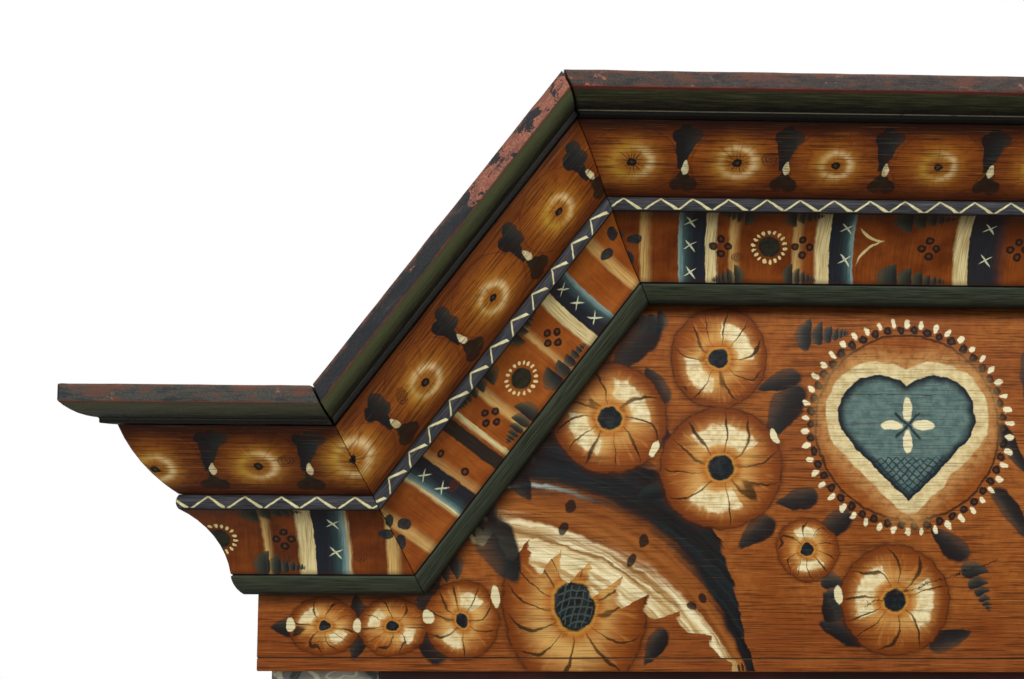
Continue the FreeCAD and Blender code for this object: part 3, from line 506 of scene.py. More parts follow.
# apples: along, up, the glow's reach, how cracked; leaves: along; upper and lower: the round dabs of one
# leaf; tones: the ground's light, middle and deep, darker on the flats and returns as painted shade; shade:
# the painted shade at the top and at the foot
ovoloRuns = {
    "top": {
        "apples": [
            (-364.5, 32.6, 1.05, 1), (-279.3, 33, 1, 1), (-198.7, 31.5, 0.86, 0), (-114.4, 31.5, 0.9, 0.4),
            (-31, 31.5, 0.86, 0)
        ],
        "leaves": [-321, -238.5, -157.5, -71, 0],
        "upper": [(-1, 58.5, 5.6), (-7, 54.5, 5.2), (6.5, 55, 5.6), (-1, 50, 6)],
        "lower": [(-6, 13, 5.6), (4.5, 12.5, 6.4), (-1, 17.5, 6)],
        "neck": 10,
        "tones": ("8f5316", "733809", "551f04"),
        "shade": (0.9, 0.8),
        "knots": [((-252, 36.5), 7.5, 6, 0)],
    },
    "rake": {
        "apples": [
            (53.6, 38.7, 1.2, 0.7), (137.7, 29.7, 0.95, 0.25), (223.5, 28.5, 0.9, 0), (310.9, 30, 0.9, 0.3),
            (400, 30, 0.9, 0)
        ],
        "leaves": [97.5, 182.5, 267.5, 351],
        "upper": [(-5, 50, 6.6), (4.5, 54.5, 6.6), (4.5, 45, 6), (-1, 47, 6)],
        "lower": [(-3.5, 9.5, 6.8), (4.5, 11.5, 6.8), (0, 16.5, 6)],
        "neck": 8,
        "tones": ("8f5618", "763d10", "602b08"),
        "shade": (0.4, 0.5),
        "knots": [((117.5, 39.3), 7.5, 5, 60)],
    },
    "flat": {
        "apples": [(-738.3, 27.9, 0.95, 0.35), (-658, 31.5, 0.95, 0.15), (-581.6, 38.5, 1.2, 0.7)],
        "leaves": [-779, -693.5, -618],
        "upper": [(0, 57.5, 5.4), (-8, 56.5, 5), (8, 56, 5.2), (0, 51, 6)],
        "lower": [(-5.5, 12, 5.4), (5.5, 11.5, 5.8), (0, 14.5, 6)],
        "neck": 9.5,
        "tones": ("804a12", "5f2c06", "421700"),
        "shade": (0.75, 0.7),
        "knots": [((-636.3, 36.7), 6.6, 5.2, 0)],
    },
}
ovoloRuns["side"] = dict(ovoloRuns["top"], tones=ovoloRuns["flat"]["tones"])


def leafShape(f, x, y, rounds, lean, half, foot, head):
    # signed distance to round dabs on a leaning neck
    ends = f.most(f.less(y, head), f.less(foot, y))
    neck = f.most(f.less(f.unsigned(f.more(x, lean)), half), ends)
    return f.maths("SMOOTH_MIN", blobs(f, f.join(x, y), rounds), neck, 2)


def paintOvolo(run):
    work = ovoloRuns[run]
    light, middle, deep = work["tones"]
    f = Finish("ovoloPaint" + run.capitalize())
    along, up, _ = onRun(f, run, "ovolo")
    blotch = f.noise(f.join(along, f.both(up, 1.6)), 0.022, 3, 0.6)
    shaken, x, y = wavering(f, along, up)
    cloud = f.noise(shaken, 0.16, 3, 0.65)
    f.colour = f.blend(blotch, 0.32, 0.68, deep, middle)
    f.coat(brushed(f, along, up, 42, 0.9), 0.46, 0.28, "b5762e", 0.4)
    dx, spot, high, reach, cracked = f.nearest(x, work["apples"])
    odd = f.chance(spot)
    body = f.length(f.join(f.over(dx, 38), f.over(f.less(y, 32), 31)))
    there = f.join(dx, f.less(y, high))
    spin = f.vector("SCALE", f.vector("NORMALIZE", there), scale=3.6)
    spin = f.vector("MULTIPLY_ADD", there, (0.02, 0.02, 0), spin)
    streak = f.noise(f.vector("ADD", spin, f.join(spot, 0)), 1, 3, 0.65)
    r = f.over(f.length(f.vector("MULTIPLY", there, (0.93, 1.08, 0))), reach)
    # the apple: a light body, a soft ring of light about its eye
    f.lay(f.both(f.ease(body, 1.05, 0.35), f.ease(cloud, 0.1, 0.7)), light, 0.85)
    f.lay(f.both(f.ease(streak, 0.52, 0.68), f.ease(body, 1, 0.8)), deep, 0.5)
    glow = f.blend(f.line(f.less(odd, 0.6), 22, dx), -15, 8, "a07c28", "cdb27e")
    f.lay(f.both(f.ease(r, 27, 14), f.ease(streak, 0.2, 0.62)), "a57326", 0.6)
    f.lay(f.both(f.bar(r, 11, 15.2, 2.8, 4), f.ease(streak, 0.15, 0.55)), glow, 0.94)
    f.coat(r, 9, 5, f.blend(cloud, 0.3, 0.7, middle, "8f5a22"), 0.55)
    angle = f.wander(streak, 1.1, f.both(f.maths("ARCTAN2", f.less(y, high), dx), 2.39))
    number = f.more(f.whole(angle), spot)
    off = f.both(f.fold(angle, 0.5), r)
    hair = f.both(f.ease(off, 1.1, 0.35), f.ease(r, f.ramp(f.chance(number), 0, 1, 6, 18), 5))
    f.lay(f.both(hair, cracked), "21160a", 0.85)
    eye = f.wander(cloud, 2.4, r)
    f.coat(eye, 4.1, 3.2, "100e0c")
    f.coat(eye, 1.9, 1, "47301c", 0.75)
    f.lay(f.both(f.bar(body, 0.97, 1, 0.025, 0.02), f.ease(cloud, 0.3, 0.6)), "2a1207", 0.6)
    f.coat(body, 0.98, 1.12, deep, 0.35)
    # leaves over and under a pale drop
    lx, _ = f.nearest(x, [(leaf,) for leaf in work["leaves"]])
    lean, half = f.ramp(y, 28, 52, 4.2, 0.6), f.ramp(y, 29, 54, 2.2, work["neck"])
    top = leafShape(f, lx, y, work["upper"], lean, half, 27, 53)
    dark = f.blend(f.more(lx, f.both(cloud, 10)), -2, 13, "0b1214", "1a2422")
    f.lay(f.both(f.ease(top, 0.5, -0.5), f.ease(lx, 13, 3, 0.75, 1)), dark, 0.98)
    low = leafShape(f, lx, y, work["lower"], 2.4, 1.6, 14, 26)
    f.coat(low, 0.8, -0.5, f.blend(cloud, 0.35, 0.65, "0e100a", "1b1c10"), 0.94)
    drop = f.length(f.join(f.over(lx, f.ease(y, 35.5, 25, 1.9, 3.3)), f.over(f.less(y, 28.6), 6.2)))
    f.coat(drop, 1.06, 0.86, f.blend(cloud, 0.35, 0.65, "cfc69f", "ab9866"), 0.96)
    for place, wide, tall, turn in work["knots"]:
        knot(f, f.join(x, y), place, wide, tall, turn, cloud)
    # painted shade: the face darkened towards its top, under the slab's overhang, and towards its foot, where
    # it turns downward
    over, under = work["shade"]
    f.coat(up, 49, 67, "150803", over)
    f.coat(up, 20, 0, "2e0f04", under)
    aged(f, along, up, "2a1005", "b08a55", 0.72, 1.15)
    f.relief = brushed(f, along, up, 70, 1.1)
    return f.done(f.ramp(blotch, 0.3, 0.7, 0.44, 0.58), 0.09, 0.35, 0.0005)


friezeRuns = {  # millimetres along the run and up its face; the zigzag: a peak, the pitch, its two slopes
    # tones darker on the flats and returns as painted shade; torusLight: the painted highlight on the torus;
    # shade: how much painted shade darkens the cove's top
    "top": {
        "slant": 0.072,
        "zigzag": (-365.4, 29.2, 13.6, 13.9),
        "torusLight": "343b31",
        "tones": ("73380c", "542200"),
        "shade": 0.85,
        "softStripes": [(-348.6, 7, 0.8), (-273.5, 6.5, 0.7), (-220, 6.5, 0.7)],
        "bands": [(-320, -297, "paleLow"), (-192, -171.5, "paleHigh"), (-73, -45, "dry")],
        "creams": [(-297, -287.5, 1), (-204.5, -192, 0.7), (-86, -73, 0.7)],
        "crosses": [(-309.8, 30.8, 22.9, 2), (-178.4, 19.8, 28.8, 2), (-58, 20.4, 29.4, 2)],
        "dots": [-283.8, -214.7, -106.8, -31],
        "suns": [-242.8],
        "fans": [  # the fine end, the middle of the broadest dab, the row's height, half that dab's height
            (-296, -269, 6.5, 7), (-290, -260.8, 58.5, 6.5), (-194, -226, 57.5, 6.5),
            (-199, -226.5, 7.5, 6.8), (-80, -131, 55.5, 8), (-84, -141, 7, 8),
        ],
        "petals": [(-356.5, 36.5, 6.6, 4.6, 15), (-362.5, 20, 4.8, 7, 25), (-371, 41, 6, 4.6, -50)],
        "ticks": [((-167, 49), (-146, 37), 1.2, 3), ((-168.5, 16), (-146.5, 37.5), 1.2, -3.6)],
        "knots": [((-269.6, 21.5), 5, 4.2, 20)],
    },
    "rake": {
        "slant": 0.02,
        "zigzag": (326.9, 26.7, 17.2, 9.5),
        "torusLight": "3c4438",
        "tones": ("8b4b18", "73370e"),
        "shade": 0.45,
        "softStripes": [
            (311.4, 9, 0.75), (221, 4.5, 0.8), (160.5, 7.5, 0.8), (33.5, 8.5, 0.75), (93.5, 6, 0.5)
        ],
        "bands": [(258, 280.5, "paleHigh"), (117, 128.5, "dark"), (69.5, 90.5, "paleLow")],
        "creams": [(246, 258, 0.8), (131, 136, 1), (66, 70, 1)],
        "crosses": [(268.3, 32.5, 21.2, 2), (78.5, 25.8, 22.5, 12)],
        "dots": [232.7, 149],
        "suns": [190],
        "fans": [(246, 211, 60, 7.6), (254, 204.8, 9, 7.6), (132, 176.6, 58.5, 8.2), (134, 172.4, 9.5, 8.4)],
        "petals": [
            (331, 48.5, 5, 7, -10), (315.5, 39, 7, 5, -35), (31.6, 48, 7.2, 4.8, 40),
            (37.2, 33.5, 5, 6.8, 10), (23.5, 26, 4.8, 7, -35)
        ],
        "ticks": [],
        "knots": [((85.6, 19.1), 5.8, 5, 0)],
        "rings": [(100.5, 48.3), (100.4, 18.8)],
    },
    "flat": {
        "slant": 0.055,
        "zigzag": (-611.9, 29.2, 13.6, 13.9),
        "torusLight": "3c4438",
        "tones": ("6c340c", "4c2006"),
        "shade": 0.6,
        "softStripes": [(-657.8, 4.5, 0.85), (-555.9, 9, 0.85)],
        "bands": [(-618.8, -592.6, "paleHigh")],
        "creams": [(-632.5, -618.8, 0.9), (-592.6, -589.4, 0.6)],
        "crosses": [(-602.3, 17.6, 28.8, 2)],
        "dots": [-643.4],
        "suns": [-696.2],
        "fans": [(-618, -668, 57, 7), (-622, -662.5, 9.5, 8)],
        "petals": [(-555, 50.3, 6.4, 4.8, 60), (-560, 36, 6.6, 5.2, 0), (-545, 30, 6.8, 5.4, -35)],
        "ticks": [],
        "knots": [((-644.6, 13.3), 5.6, 5, 0), ((-582.7, 14.4), 5.2, 5, 0)],
    },
}
friezeRuns["side"] = dict(
    friezeRuns["top"], petals=[], tones=friezeRuns["flat"]["tones"], torusLight="3c4438"
)
cove = {"middle": 33, "row": 30.6}  # millimetres up the face: where the slant turns, where dots and suns sit


def lobes(f, x, y, fine, broad, row, tall):
    # a row of brush dabs that shrink towards its fine end
    ratio, spread = 0.75, 5.6
    reach = broad - fine
    q = f.line(x, 1 / reach, -fine / reach)
    cell = f.most(f.whole(f.maths("LOGARITHM", f.most(q, 0.0001), ratio)), 0)
    big = f.maths("POWER", ratio, cell)
    lx = f.line(f.over(q, big), spread, -spread)
    high = row > cove["middle"]
    drift = 0 if row == 0 else (5 if high else -5)
    away = f.more(f.line(y, 1 / tall, -(row + drift) / tall), f.both(q, drift / tall))
    ly = f.over(away, big)
    lx = f.line(ly, -0.35 if high else 0.35, lx)
    lx = f.line(f.both(ly, ly), 0.30, lx)
    r = f.length(f.join(lx, f.both(ly, 0.74)))
    return f.both(f.ease(r, 1.10, 0.94), f.ease(q, 0.12, 0.2)), lx


def layLobes(f, mask, part, thin="2f3a2e"):
    tone = f.blend(part, -0.9, 1, "0c1216", thin)
    f.lay(f.both(mask, f.ease(part, 1.15, 0, 0.5, 1)), tone, 0.97)


def crosses(f, x, y, centre, start, pitch):
    # a stout stroke leaning left and a thin one laid over it, once to every step
    rise = f.less(y, start)
    rise = f.less(rise, f.both(f.whole(f.over(rise, pitch)), pitch))
    here = f.join(f.less(x, centre), rise)
    r = f.least(stroke(f, here, (-3.9, 5.4), (4.2, -5.4), 0.85), stroke(f, here, (-5.6, -3), (5.6, 3.6), 0.6))
    return f.both(f.ease(r, 1.15, 0.75), f.ease(y, 60, 58.5))


def paintFrieze(run):
    work = friezeRuns[run]
    f = Finish("friezePaint" + run.capitalize())
    along, up, height = onRun(f, run, "frieze")
    _, x, y = wavering(f, along, up, 0.8)
    x = f.line(f.less(y, cove["middle"]), work["slant"], x)
    here = f.join(x, y)
    streak = f.noise(f.join(f.over(along, 1.1), f.over(up, 26)), 1, 3, 0.6)
    cloud = f.noise(here, 0.17, 3, 0.65)
    blotch = f.noise(f.join(along, up), 0.03, 3, 0.6)
    light, deep = work["tones"]
    f.colour = f.blend(blotch, 0.35, 0.65, deep, light)
    f.coat(streak, 0.45, 0.75, deep, 0.6)
    for centre, width, strength in work["softStripes"]:
        mask = f.bar(x, centre - width / 2, centre + width / 2, 1.6, 4.5)
        f.lay(f.both(mask, f.ease(streak, 0.1, 0.6)), "bf9e5e", strength)
    for low, high, strength in work["creams"]:
        # crisp where it meets the band, dry-brushed at the other edge
        ragged = f.wander(streak, 5, x)
        mask = f.both(f.ease(x, high + 0.6, high - 0.4), f.ease(ragged, low - 1, low + 2.2))
        if low in [band[1] for band in work["bands"]]:
            mask = f.both(f.ease(x, low - 0.6, low + 0.4), f.ease(ragged, high + 1, high - 2))
        tone = f.blend(streak, 0.38, 0.68, "c9bb88", "a18a58")
        f.lay(mask, tone, 0.95 if strength > 0.65 else strength)
    for low, high, kind in work["bands"]:
        if kind == "dry":
            f.lay(f.bar(x, low, high, 0.5, 8), "151c21", 0.97)
        elif kind == "dark":
            f.lay(f.bar(x, low, high, 0.5, 0.6), "1a1a15", 0.97)
        else:
            pale, wide = (low, high - low) if kind == "paleLow" else (high, low - high)
            swept = f.wander(streak, 7, x)
            tone = f.blend(swept, pale, pale + wide * 0.62, "34504f", "0e1a22")
            tone = f.blend(swept, pale, pale + wide * 0.26, "6f8781", tone)
            f.lay(f.bar(x, low, high, 0.5, 0.6), tone, 0.97)
    for centre, start, pitch, lowest in work["crosses"]:
        mask = f.both(crosses(f, x, y, centre, start, pitch), f.ease(y, lowest - 0.5, lowest + 0.5))
        f.lay(mask, "c2c3a0", 0.85)
    for fine, broad, row, tall in work["fans"]:
        mask, part = lobes(f, x, y, fine, broad, row, tall)
        layLobes(f, mask, part)
    dx, _ = f.nearest(x, [(dot,) for dot in work["dots"]])
    fold = f.vector("ABSOLUTE", f.join(dx, f.less(y, cove["row"])))
    d = f.least(f.distance(fold, (6.2, 0, 0)), f.distance(fold, (0, 6.9, 0)))
    d = f.wander(cloud, 2, d)
    ringed(f, d, (4, 3.2), (1.8, 0.9), "100f0e", "5c3216")
    for centre in work.get("rings", []):
        ringed(f, f.distance(here, (*centre, 0)), (4.1, 3.3), (1.9, 1.1), "100f0e", "6e3a1a")
    for centre in work["suns"]:
        there = f.join(f.less(x, centre), f.less(y, cove["row"]))
        r = f.wander(cloud, 1.6, f.length(there))
        f.coat(r, 9.9, 8.7, f.blend(cloud, 0.35, 0.65, "11160f", "20251a"), 0.97)
        turn = f.fold(f.line(around(f, there), 18 / (2 * math.pi), f.both(cloud, 0.7)), 0.5)
        dash = f.length(f.join(f.both(turn, 3.6), f.over(f.less(r, 13.4), 2.1)))
        f.coat(dash, 1.1, 0.8, "cbbb83", 0.95)
    for px, py, long, broad, turn in work["petals"]:
        r = f.length(f.local(here, (px, py), (long, broad), turn))
        r = f.wander(cloud, 0.35, r)
        f.coat(r, 1.06, 0.9, f.blend(cloud, 0.35, 0.7, "12191d", "262f2f"), 0.96)
    for start, end, thick, sag in work["ticks"]:
        f.coat(stroke(f, here, start, end, thick, sag), 1.15, 0.8, "c2ae78", 0.9)
    for place, wide, tall, turn in work["knots"]:
        knot(f, here, place, wide, tall, turn, cloud)
    # painted shade: the cove darkened towards its top, under the bead; also darker just above the torus
    f.coat(up, 40, 67, "120803", work["shade"])
    f.coat(up, 5, 0, "2a1208", 0.5)
    aged(f, up, along, "1a0c06", "b8945c", 0.3)
    # the bead, with its zigzag
    bead = f.ease(height, 71.3, 71.9)
    f.lay(bead, f.blend(brushed(f, along, up, 26, 0.7), 0.35, 0.7, "1e1e20", "444449"))
    lift = f.ramp(height, 72.2, 81.5, 1, 0)
    peak, pitch, right, left = work["zigzag"]
    past = f.less(x, peak)
    cell = f.whole(f.over(past, pitch))
    zx = f.wander(f.chance(cell), 3, f.less(past, f.both(cell, pitch)))
    zig = f.most(f.over(zx, right), f.over(zx, -left))
    off = f.unsigned(f.less(zig, lift))
    thick = f.line(lift, f.line(f.ease(zx, -1, 1), 0.08, 0.015), 0.068)
    limb = f.ease(f.less(off, thick), 0.05, -0.03)
    mask = f.both(f.both(limb, bead), f.bar(height, 72.6, 81.8, 0.3, 0.4))
    f.lay(mask, f.blend(cloud, 0.35, 0.65, "cdc596", "aea67c"), 0.95)
    f.lay(f.both(bead, f.ease(height, 79, 83)), "141416", 0.5)
    # the torus, lighter along its upper part with a painted highlight
    torus = f.ease(height, 17.3, 16.8)
    f.lay(torus, f.blend(brushed(f, along, up, 34, 0.9), 0.33, 0.68, "181b12", "363a2b"))
    f.lay(f.both(torus, f.ease(height, 13, 16.2)), work["torusLight"], 0.55)
    # painted shadow lines along the torus's top and under the bead, and painted shade along the torus's foot
    f.lay(f.bar(height, 16.2, 17.6, 0.3, 0.4), "0c0b0a", 0.9)
    f.coat(height, 4.5, 0.6, "0c0c08", 0.85)
    f.lay(f.bar(height, 70.7, 71.9, 0.3, 0.3), "0c0908", 0.85)
    f.relief = streak
    return f.done(f.ramp(blotch, 0.3, 0.7, 0.44, 0.58), 0.09, 0.3, 0.0004)


# the red ground's middle, reach and bareness; the face's greys; the lip's green, darker on the top run and
# lighter on the rake and flats as painted shade and light; its red line; and the painted highlight along the
# fillet
slabRuns = {
    "top": (-402, 16, 0.05, "292321", "463d38", "1e210c", 0.85, 0.75),
    "rake": (330, 60, 0.185, "121314", "2c2d30", "3c4127", 0.35, 0.12),
    "flat": (-745, 10, 0.02, "2b2c2a", "464640", "353527", 0.35, 0.12),
    "side": (-300, 15, 0.02, "2c2a27", "474540", "2c2f1c", 0.35, 0.12),
}


def paintSlab(run):
    middle, reach, worn, first, second, green, redLine, filletHighlight = slabRuns[run]
    f = Finish("slabPaint" + run.capitalize())
    along, _, height = onRun(f, run, "slab")
    inward = f.vector("DOT_PRODUCT", f.place, (400, 0, 0) if run == "side" else (0, 400, 0))
    level = f.more(height, inward)
    here = f.join(along, level)
    patch = f.noise(f.join(f.both(along, 0.6), height, inward), 0.085, 4, 0.66, 0.6)
    fine = f.noise(here, 0.6, 5, 0.74)
    f.colour = f.blend(fine, 0.3, 0.7, first, second)
    f.coat(brushed(f, along, level, 30, 0.8), 0.48, 0.72, "0e0e0f", 0.7)
    f.coat(patch, 0.54, 0.7, "56534e", 0.35)
    mottle = f.noise(f.join(f.both(along, 0.35), level), 0.11, 4, 0.68)
    f.coat(mottle, 0.50, 0.60, "5c3526", 0 if run == "rake" else 0.6)
    f.coat(mottle, 0.46, 0.36, "17191f", 0.65)
    near = f.ease(f.unsigned(f.less(along, middle)), reach + 16, reach - 16)
    bare = f.line(near, worn, patch)
    bare = f.line(f.ease(height, 166, 155.5), f.both(near, worn * 0.5), bare)
    front = f.ease(height, 153.6, 154.4)
    flake = f.wander(fine, 0.34, bare)
    red = f.blend(fine, 0.35, 0.65, "6c3d2d", "95604e")
    dull = f.noise(f.join(f.both(along, 0.4), level), 0.16, 3, 0.7)
    red = f.mix(f.ease(dull, 0.44, 0.66, 0, 0.75), red, "5a3a33")
    f.lay(f.both(f.ease(flake, 0.665, 0.69), front), red)
    f.lay(f.both(f.bar(flake, 0.655, 0.665, 0.008, 0.008), front), "0b0b0c", 0.8)
    speck = f.noise(here, 0.35, 3, 0.6)
    f.lay(f.both(f.ease(speck, 0.72, 0.75), front), "8d4630", 0.9)
    f.lay(f.both(f.ease(f.line(fine, 5, height), 165.5, 169), f.ease(patch, 0.36, 0.56)), "6a4434", 0.75)
    f.lay(f.both(f.ease(f.line(fine, 2.6, height), 168, 168.8), f.ease(patch, 0.42, 0.6)), "98704a", 0.6)
    lower = f.both(f.bar(f.line(fine, 2.2, height), 154, 155.4, 0.4, 0.4), f.ease(patch, 0.42, 0.6))
    f.lay(lower, "6e2c1c", 0.8)
    # dust lies along the top
    upward = f.parts(f.add("ShaderNodeNewGeometry").outputs["Normal"])[2]
    f.coat(f.wander(fine, 0.8, upward), 0.45, 0.9, f.blend(patch, 0.35, 0.65, "5d534c", "77695a"), 0.85)
    # below the lip the dark green runs to black at the fillet: painted shade
    below = f.ease(f.line(fine, 1.4, height), 154.6, 154)
    tone = f.blend(height, 141.8, 150.5, "0c0d08", green)
    f.lay(below, f.blend(brushed(f, along, height, 30, 0.8), 0.4, 0.7, tone, f.mix(0.5, tone, "4a4d30")))
    f.lay(f.both(below, f.ease(height, 145.5, 141.5)), "060604", 0.9)
    f.lay(f.bar(height, 151.9, 153.6, 0.4, 0.2), "4a0f08", redLine)
    # painted shadow over the fillet, with a painted highlight along its top edge
    f.coat(height, 141.4, 140.8, "0a0908")
    line = f.both(f.bar(height, 140.8, 141.5, 0.2, 0.2), f.ease(patch, 0.25, 0.5))
    f.lay(line, "7d7458", filletHighlight)
    f.relief = fine
    return f.done(f.ramp(fine, 0.3, 0.7, 0.55, 0.75), 0.18, 0.5, 0.0009)


cornice = {
    "sliceStep": 0.012,
    "slabEdge": 0.0013,
    "ovoloEdge": 0.0006,
    "friezeEdge": 0.0006,
    "slabWear": 0.0008,
    "wornScale": 0.035,
    "fineWear": 0.00056,
    "fineScale": 0.009,
    "wornTo": -0.27,  # except on the returns, the slab stays smooth behind this
    "runs": {
        "top": "top", "rake_left": "rake", "rake_right": "rake",
        "flat_left": "flat", "flat_right": "flat", "returns": "side",
    },
}
directions = {
    "top": (1, 0, 0), "flat": (1, 0, 0), "rake": (math.cos(rake), 0, math.sin(rake)), "side": (0, 1, 0)
}


def buildCornice():
    pieces = []
    for member, paint in (("slab", paintSlab), ("ovolo", paintOvolo), ("frieze", paintFrieze)):
        finishes = {run: paint(run) for run in runs}
        for ending, run in cornice["runs"].items():
            node = "cornice_" + member + "_" + ending
            piece = copyOf(node)
            softenEdges(piece, cornice[member + "Edge"], 3 if member == "slab" else 2)
            direction = list(directions[run])
            if ending == "rake_right":
                direction[0] *= -1
            if member == "slab":
                sliceAlong(piece, direction, cornice["sliceStep"])
                bare = [v.index for v in piece.data.vertices if run == "side" or v.co.y < cornice["wornTo"]]
                roughen(piece, cornice["slabWear"], cornice["wornScale"], bare)
                roughen(piece, cornice["fineWear"], cornice["fineScale"], bare)
            standIn(piece, node, finishes[run])
            pieces.append(piece)
    print("cornice dressed")
    return pieces


corniceSet = buildCornice()


def bestOf(f, here, places):
    # the frame of whichever motif lies over this spot, and how far out in it
    spot, r = None, None
    for number, (x, y, wide, tall, turn) in enumerate(places):
        there = f.local(here, (x, y), (wide, tall), turn, number * 7)
        far = f.length(f.vector("MULTIPLY", there, (1, 1, 0)))
        if spot is None:
            spot, r = there, far
        else:
            spot = f.choose(f.maths("LESS_THAN", far, r), spot, there)
            r = f.least(r, far)
    return spot, r


def gourds(f, here, places, cloud, ribs=10, lights=0.6, eye=0.2, hatch=0):
    spot, r = bestOf(f, here, places)
    lx, ly, seed = f.parts(spot)
    turn = f.maths("ARCTAN2", ly, lx)
    across, up = f.maths("COSINE", turn), f.maths("SINE", turn)
    streak = f.noise(f.join(f.both(across, 3), f.both(up, 3), f.line(r, 0.8, seed)), 1, 3, 0.65)
    odd = f.noise(f.join(across, up, seed), 1.3, 1)
    # ribs bend round the swelling sides, away from the stalk
    bend = f.both(f.both(r, r), up)
    angle = f.line(f.line(bend, 0.6, turn), ribs / (2 * math.pi), f.both(f.less(odd, 0.5), 1.6))
    r = f.wander(cloud, 0.05, r)
    inside = f.ease(r, 1.015, 0.98)
    tone = f.blend(r, 0.2, 0.97, "a4642a", "763b10")
    tone = f.blend(streak, 0.42, 0.85, tone, "7c4013")
    f.lay(inside, tone, 0.95)
    comb = f.noise(f.join(f.both(turn, 9), f.both(r, 1.4), seed), 1, 2, 0.6)
    f.lay(f.both(f.both(inside, f.ease(comb, 0.48, 0.36)), f.bar(r, 0.34, 0.86, 0.08, 0.1)), "b47a3a", 0.35)
    f.lay(f.both(inside, f.ease(r, 0.74, 1)), "4e200a", 0.55)
    flank = f.wander(streak, 0.2, f.unsigned(f.maths("COSINE", f.line(odd, 1.2, turn))))
    f.lay(f.both(f.ease(flank, 0.3, 0.95), f.bar(r, eye + 0.2, 0.66, 0.12, 0.26)), "c79d59", 0.8)
    f.lay(f.both(f.bar(r, eye + 0.15, eye + 0.24, 0.08, 0.24), f.ease(streak, 0.1, 0.6)), "c09c58", 0.92)
    gap = f.fold(angle, 0.5)
    least = 1 - lights * 0.42
    band = f.bar(f.wander(cloud, 0.14, r), eye + 0.20, 0.71, 0.03, 0.04)
    light = f.both(f.both(f.ease(flank, least, least + 0.05), band), f.ease(gap, 0.02, 0.10, 0.45, 1))
    f.lay(light, f.blend(cloud, 0.35, 0.7, "d5c89e", "b8a170"), 0.96)
    line = f.whole(angle)
    heavy = f.ramp(f.chance(f.more(f.more(line, seed), 0.71)), 0, 1, 0.012, 0.05)
    thick = f.both(heavy, f.bar(r, 0.5, 0.86, 0.34, 0.12))
    off = f.less(f.both(gap, r), f.more(thick, 0.006))
    rib = f.both(f.ease(off, 0.018, -0.010), f.bar(r, eye + 0.05, 0.95, 0.04, 0.05))
    f.lay(f.both(rib, inside), f.blend(r, 0.3, 0.75, "5a3a12", "15120a"), 0.86)
    f.lay(f.bar(r, eye, eye + 0.05, 0.02, 0.03), "a87a2f", 0.8)
    f.coat(r, eye + 0.03, eye - 0.01, f.blend(cloud, 0.4, 0.7, "0e1418", "232a2a"))
    if hatch:
        net = f.least(f.fold(f.more(lx, f.both(ly, ly)), hatch), f.fold(f.line(lx, 0.5, ly), hatch))
        net = f.ease(net, hatch * 0.32, hatch * 0.1)
        f.lay(f.both(net, f.ease(r, eye - 0.01, eye - 0.04)), "3f4a44", 0.8)
    f.lay(f.both(f.bar(r, 0.985, 1.01, 0.02, 0.02), f.ease(cloud, 0.3, 0.55)), "1c0e06", 0.8)
    f.lay(f.ease(r, 1.12, 0.99, 0, f.less(1, inside)), "3a1a0a", 0.45)


def dabs(f, here, places):
    # leaf dabs: pointed at one end, dark on one edge and thin on the other
    spot, r = bestOf(f, here, places)
    lx, ly, _ = f.parts(spot)
    r = f.length(f.join(lx, f.over(ly, f.line(lx, 0.35, 0.75))))
    mask = f.both(f.ease(r, 1.1, 0.9), f.ease(ly, 1, -0.1, 0.65, 1))
    f.lay(mask, f.blend(ly, -0.6, 0.8, "0b1114", "1f2a28"), 0.97)


def fan(f, here, centre, turn, length, size):
    x, y, _ = f.parts(f.local(here, centre, (1, 1), turn))
    mask, part = lobes(f, x, y, length, 0, 0, size)
    layLobes(f, mask, part, "2a3833")


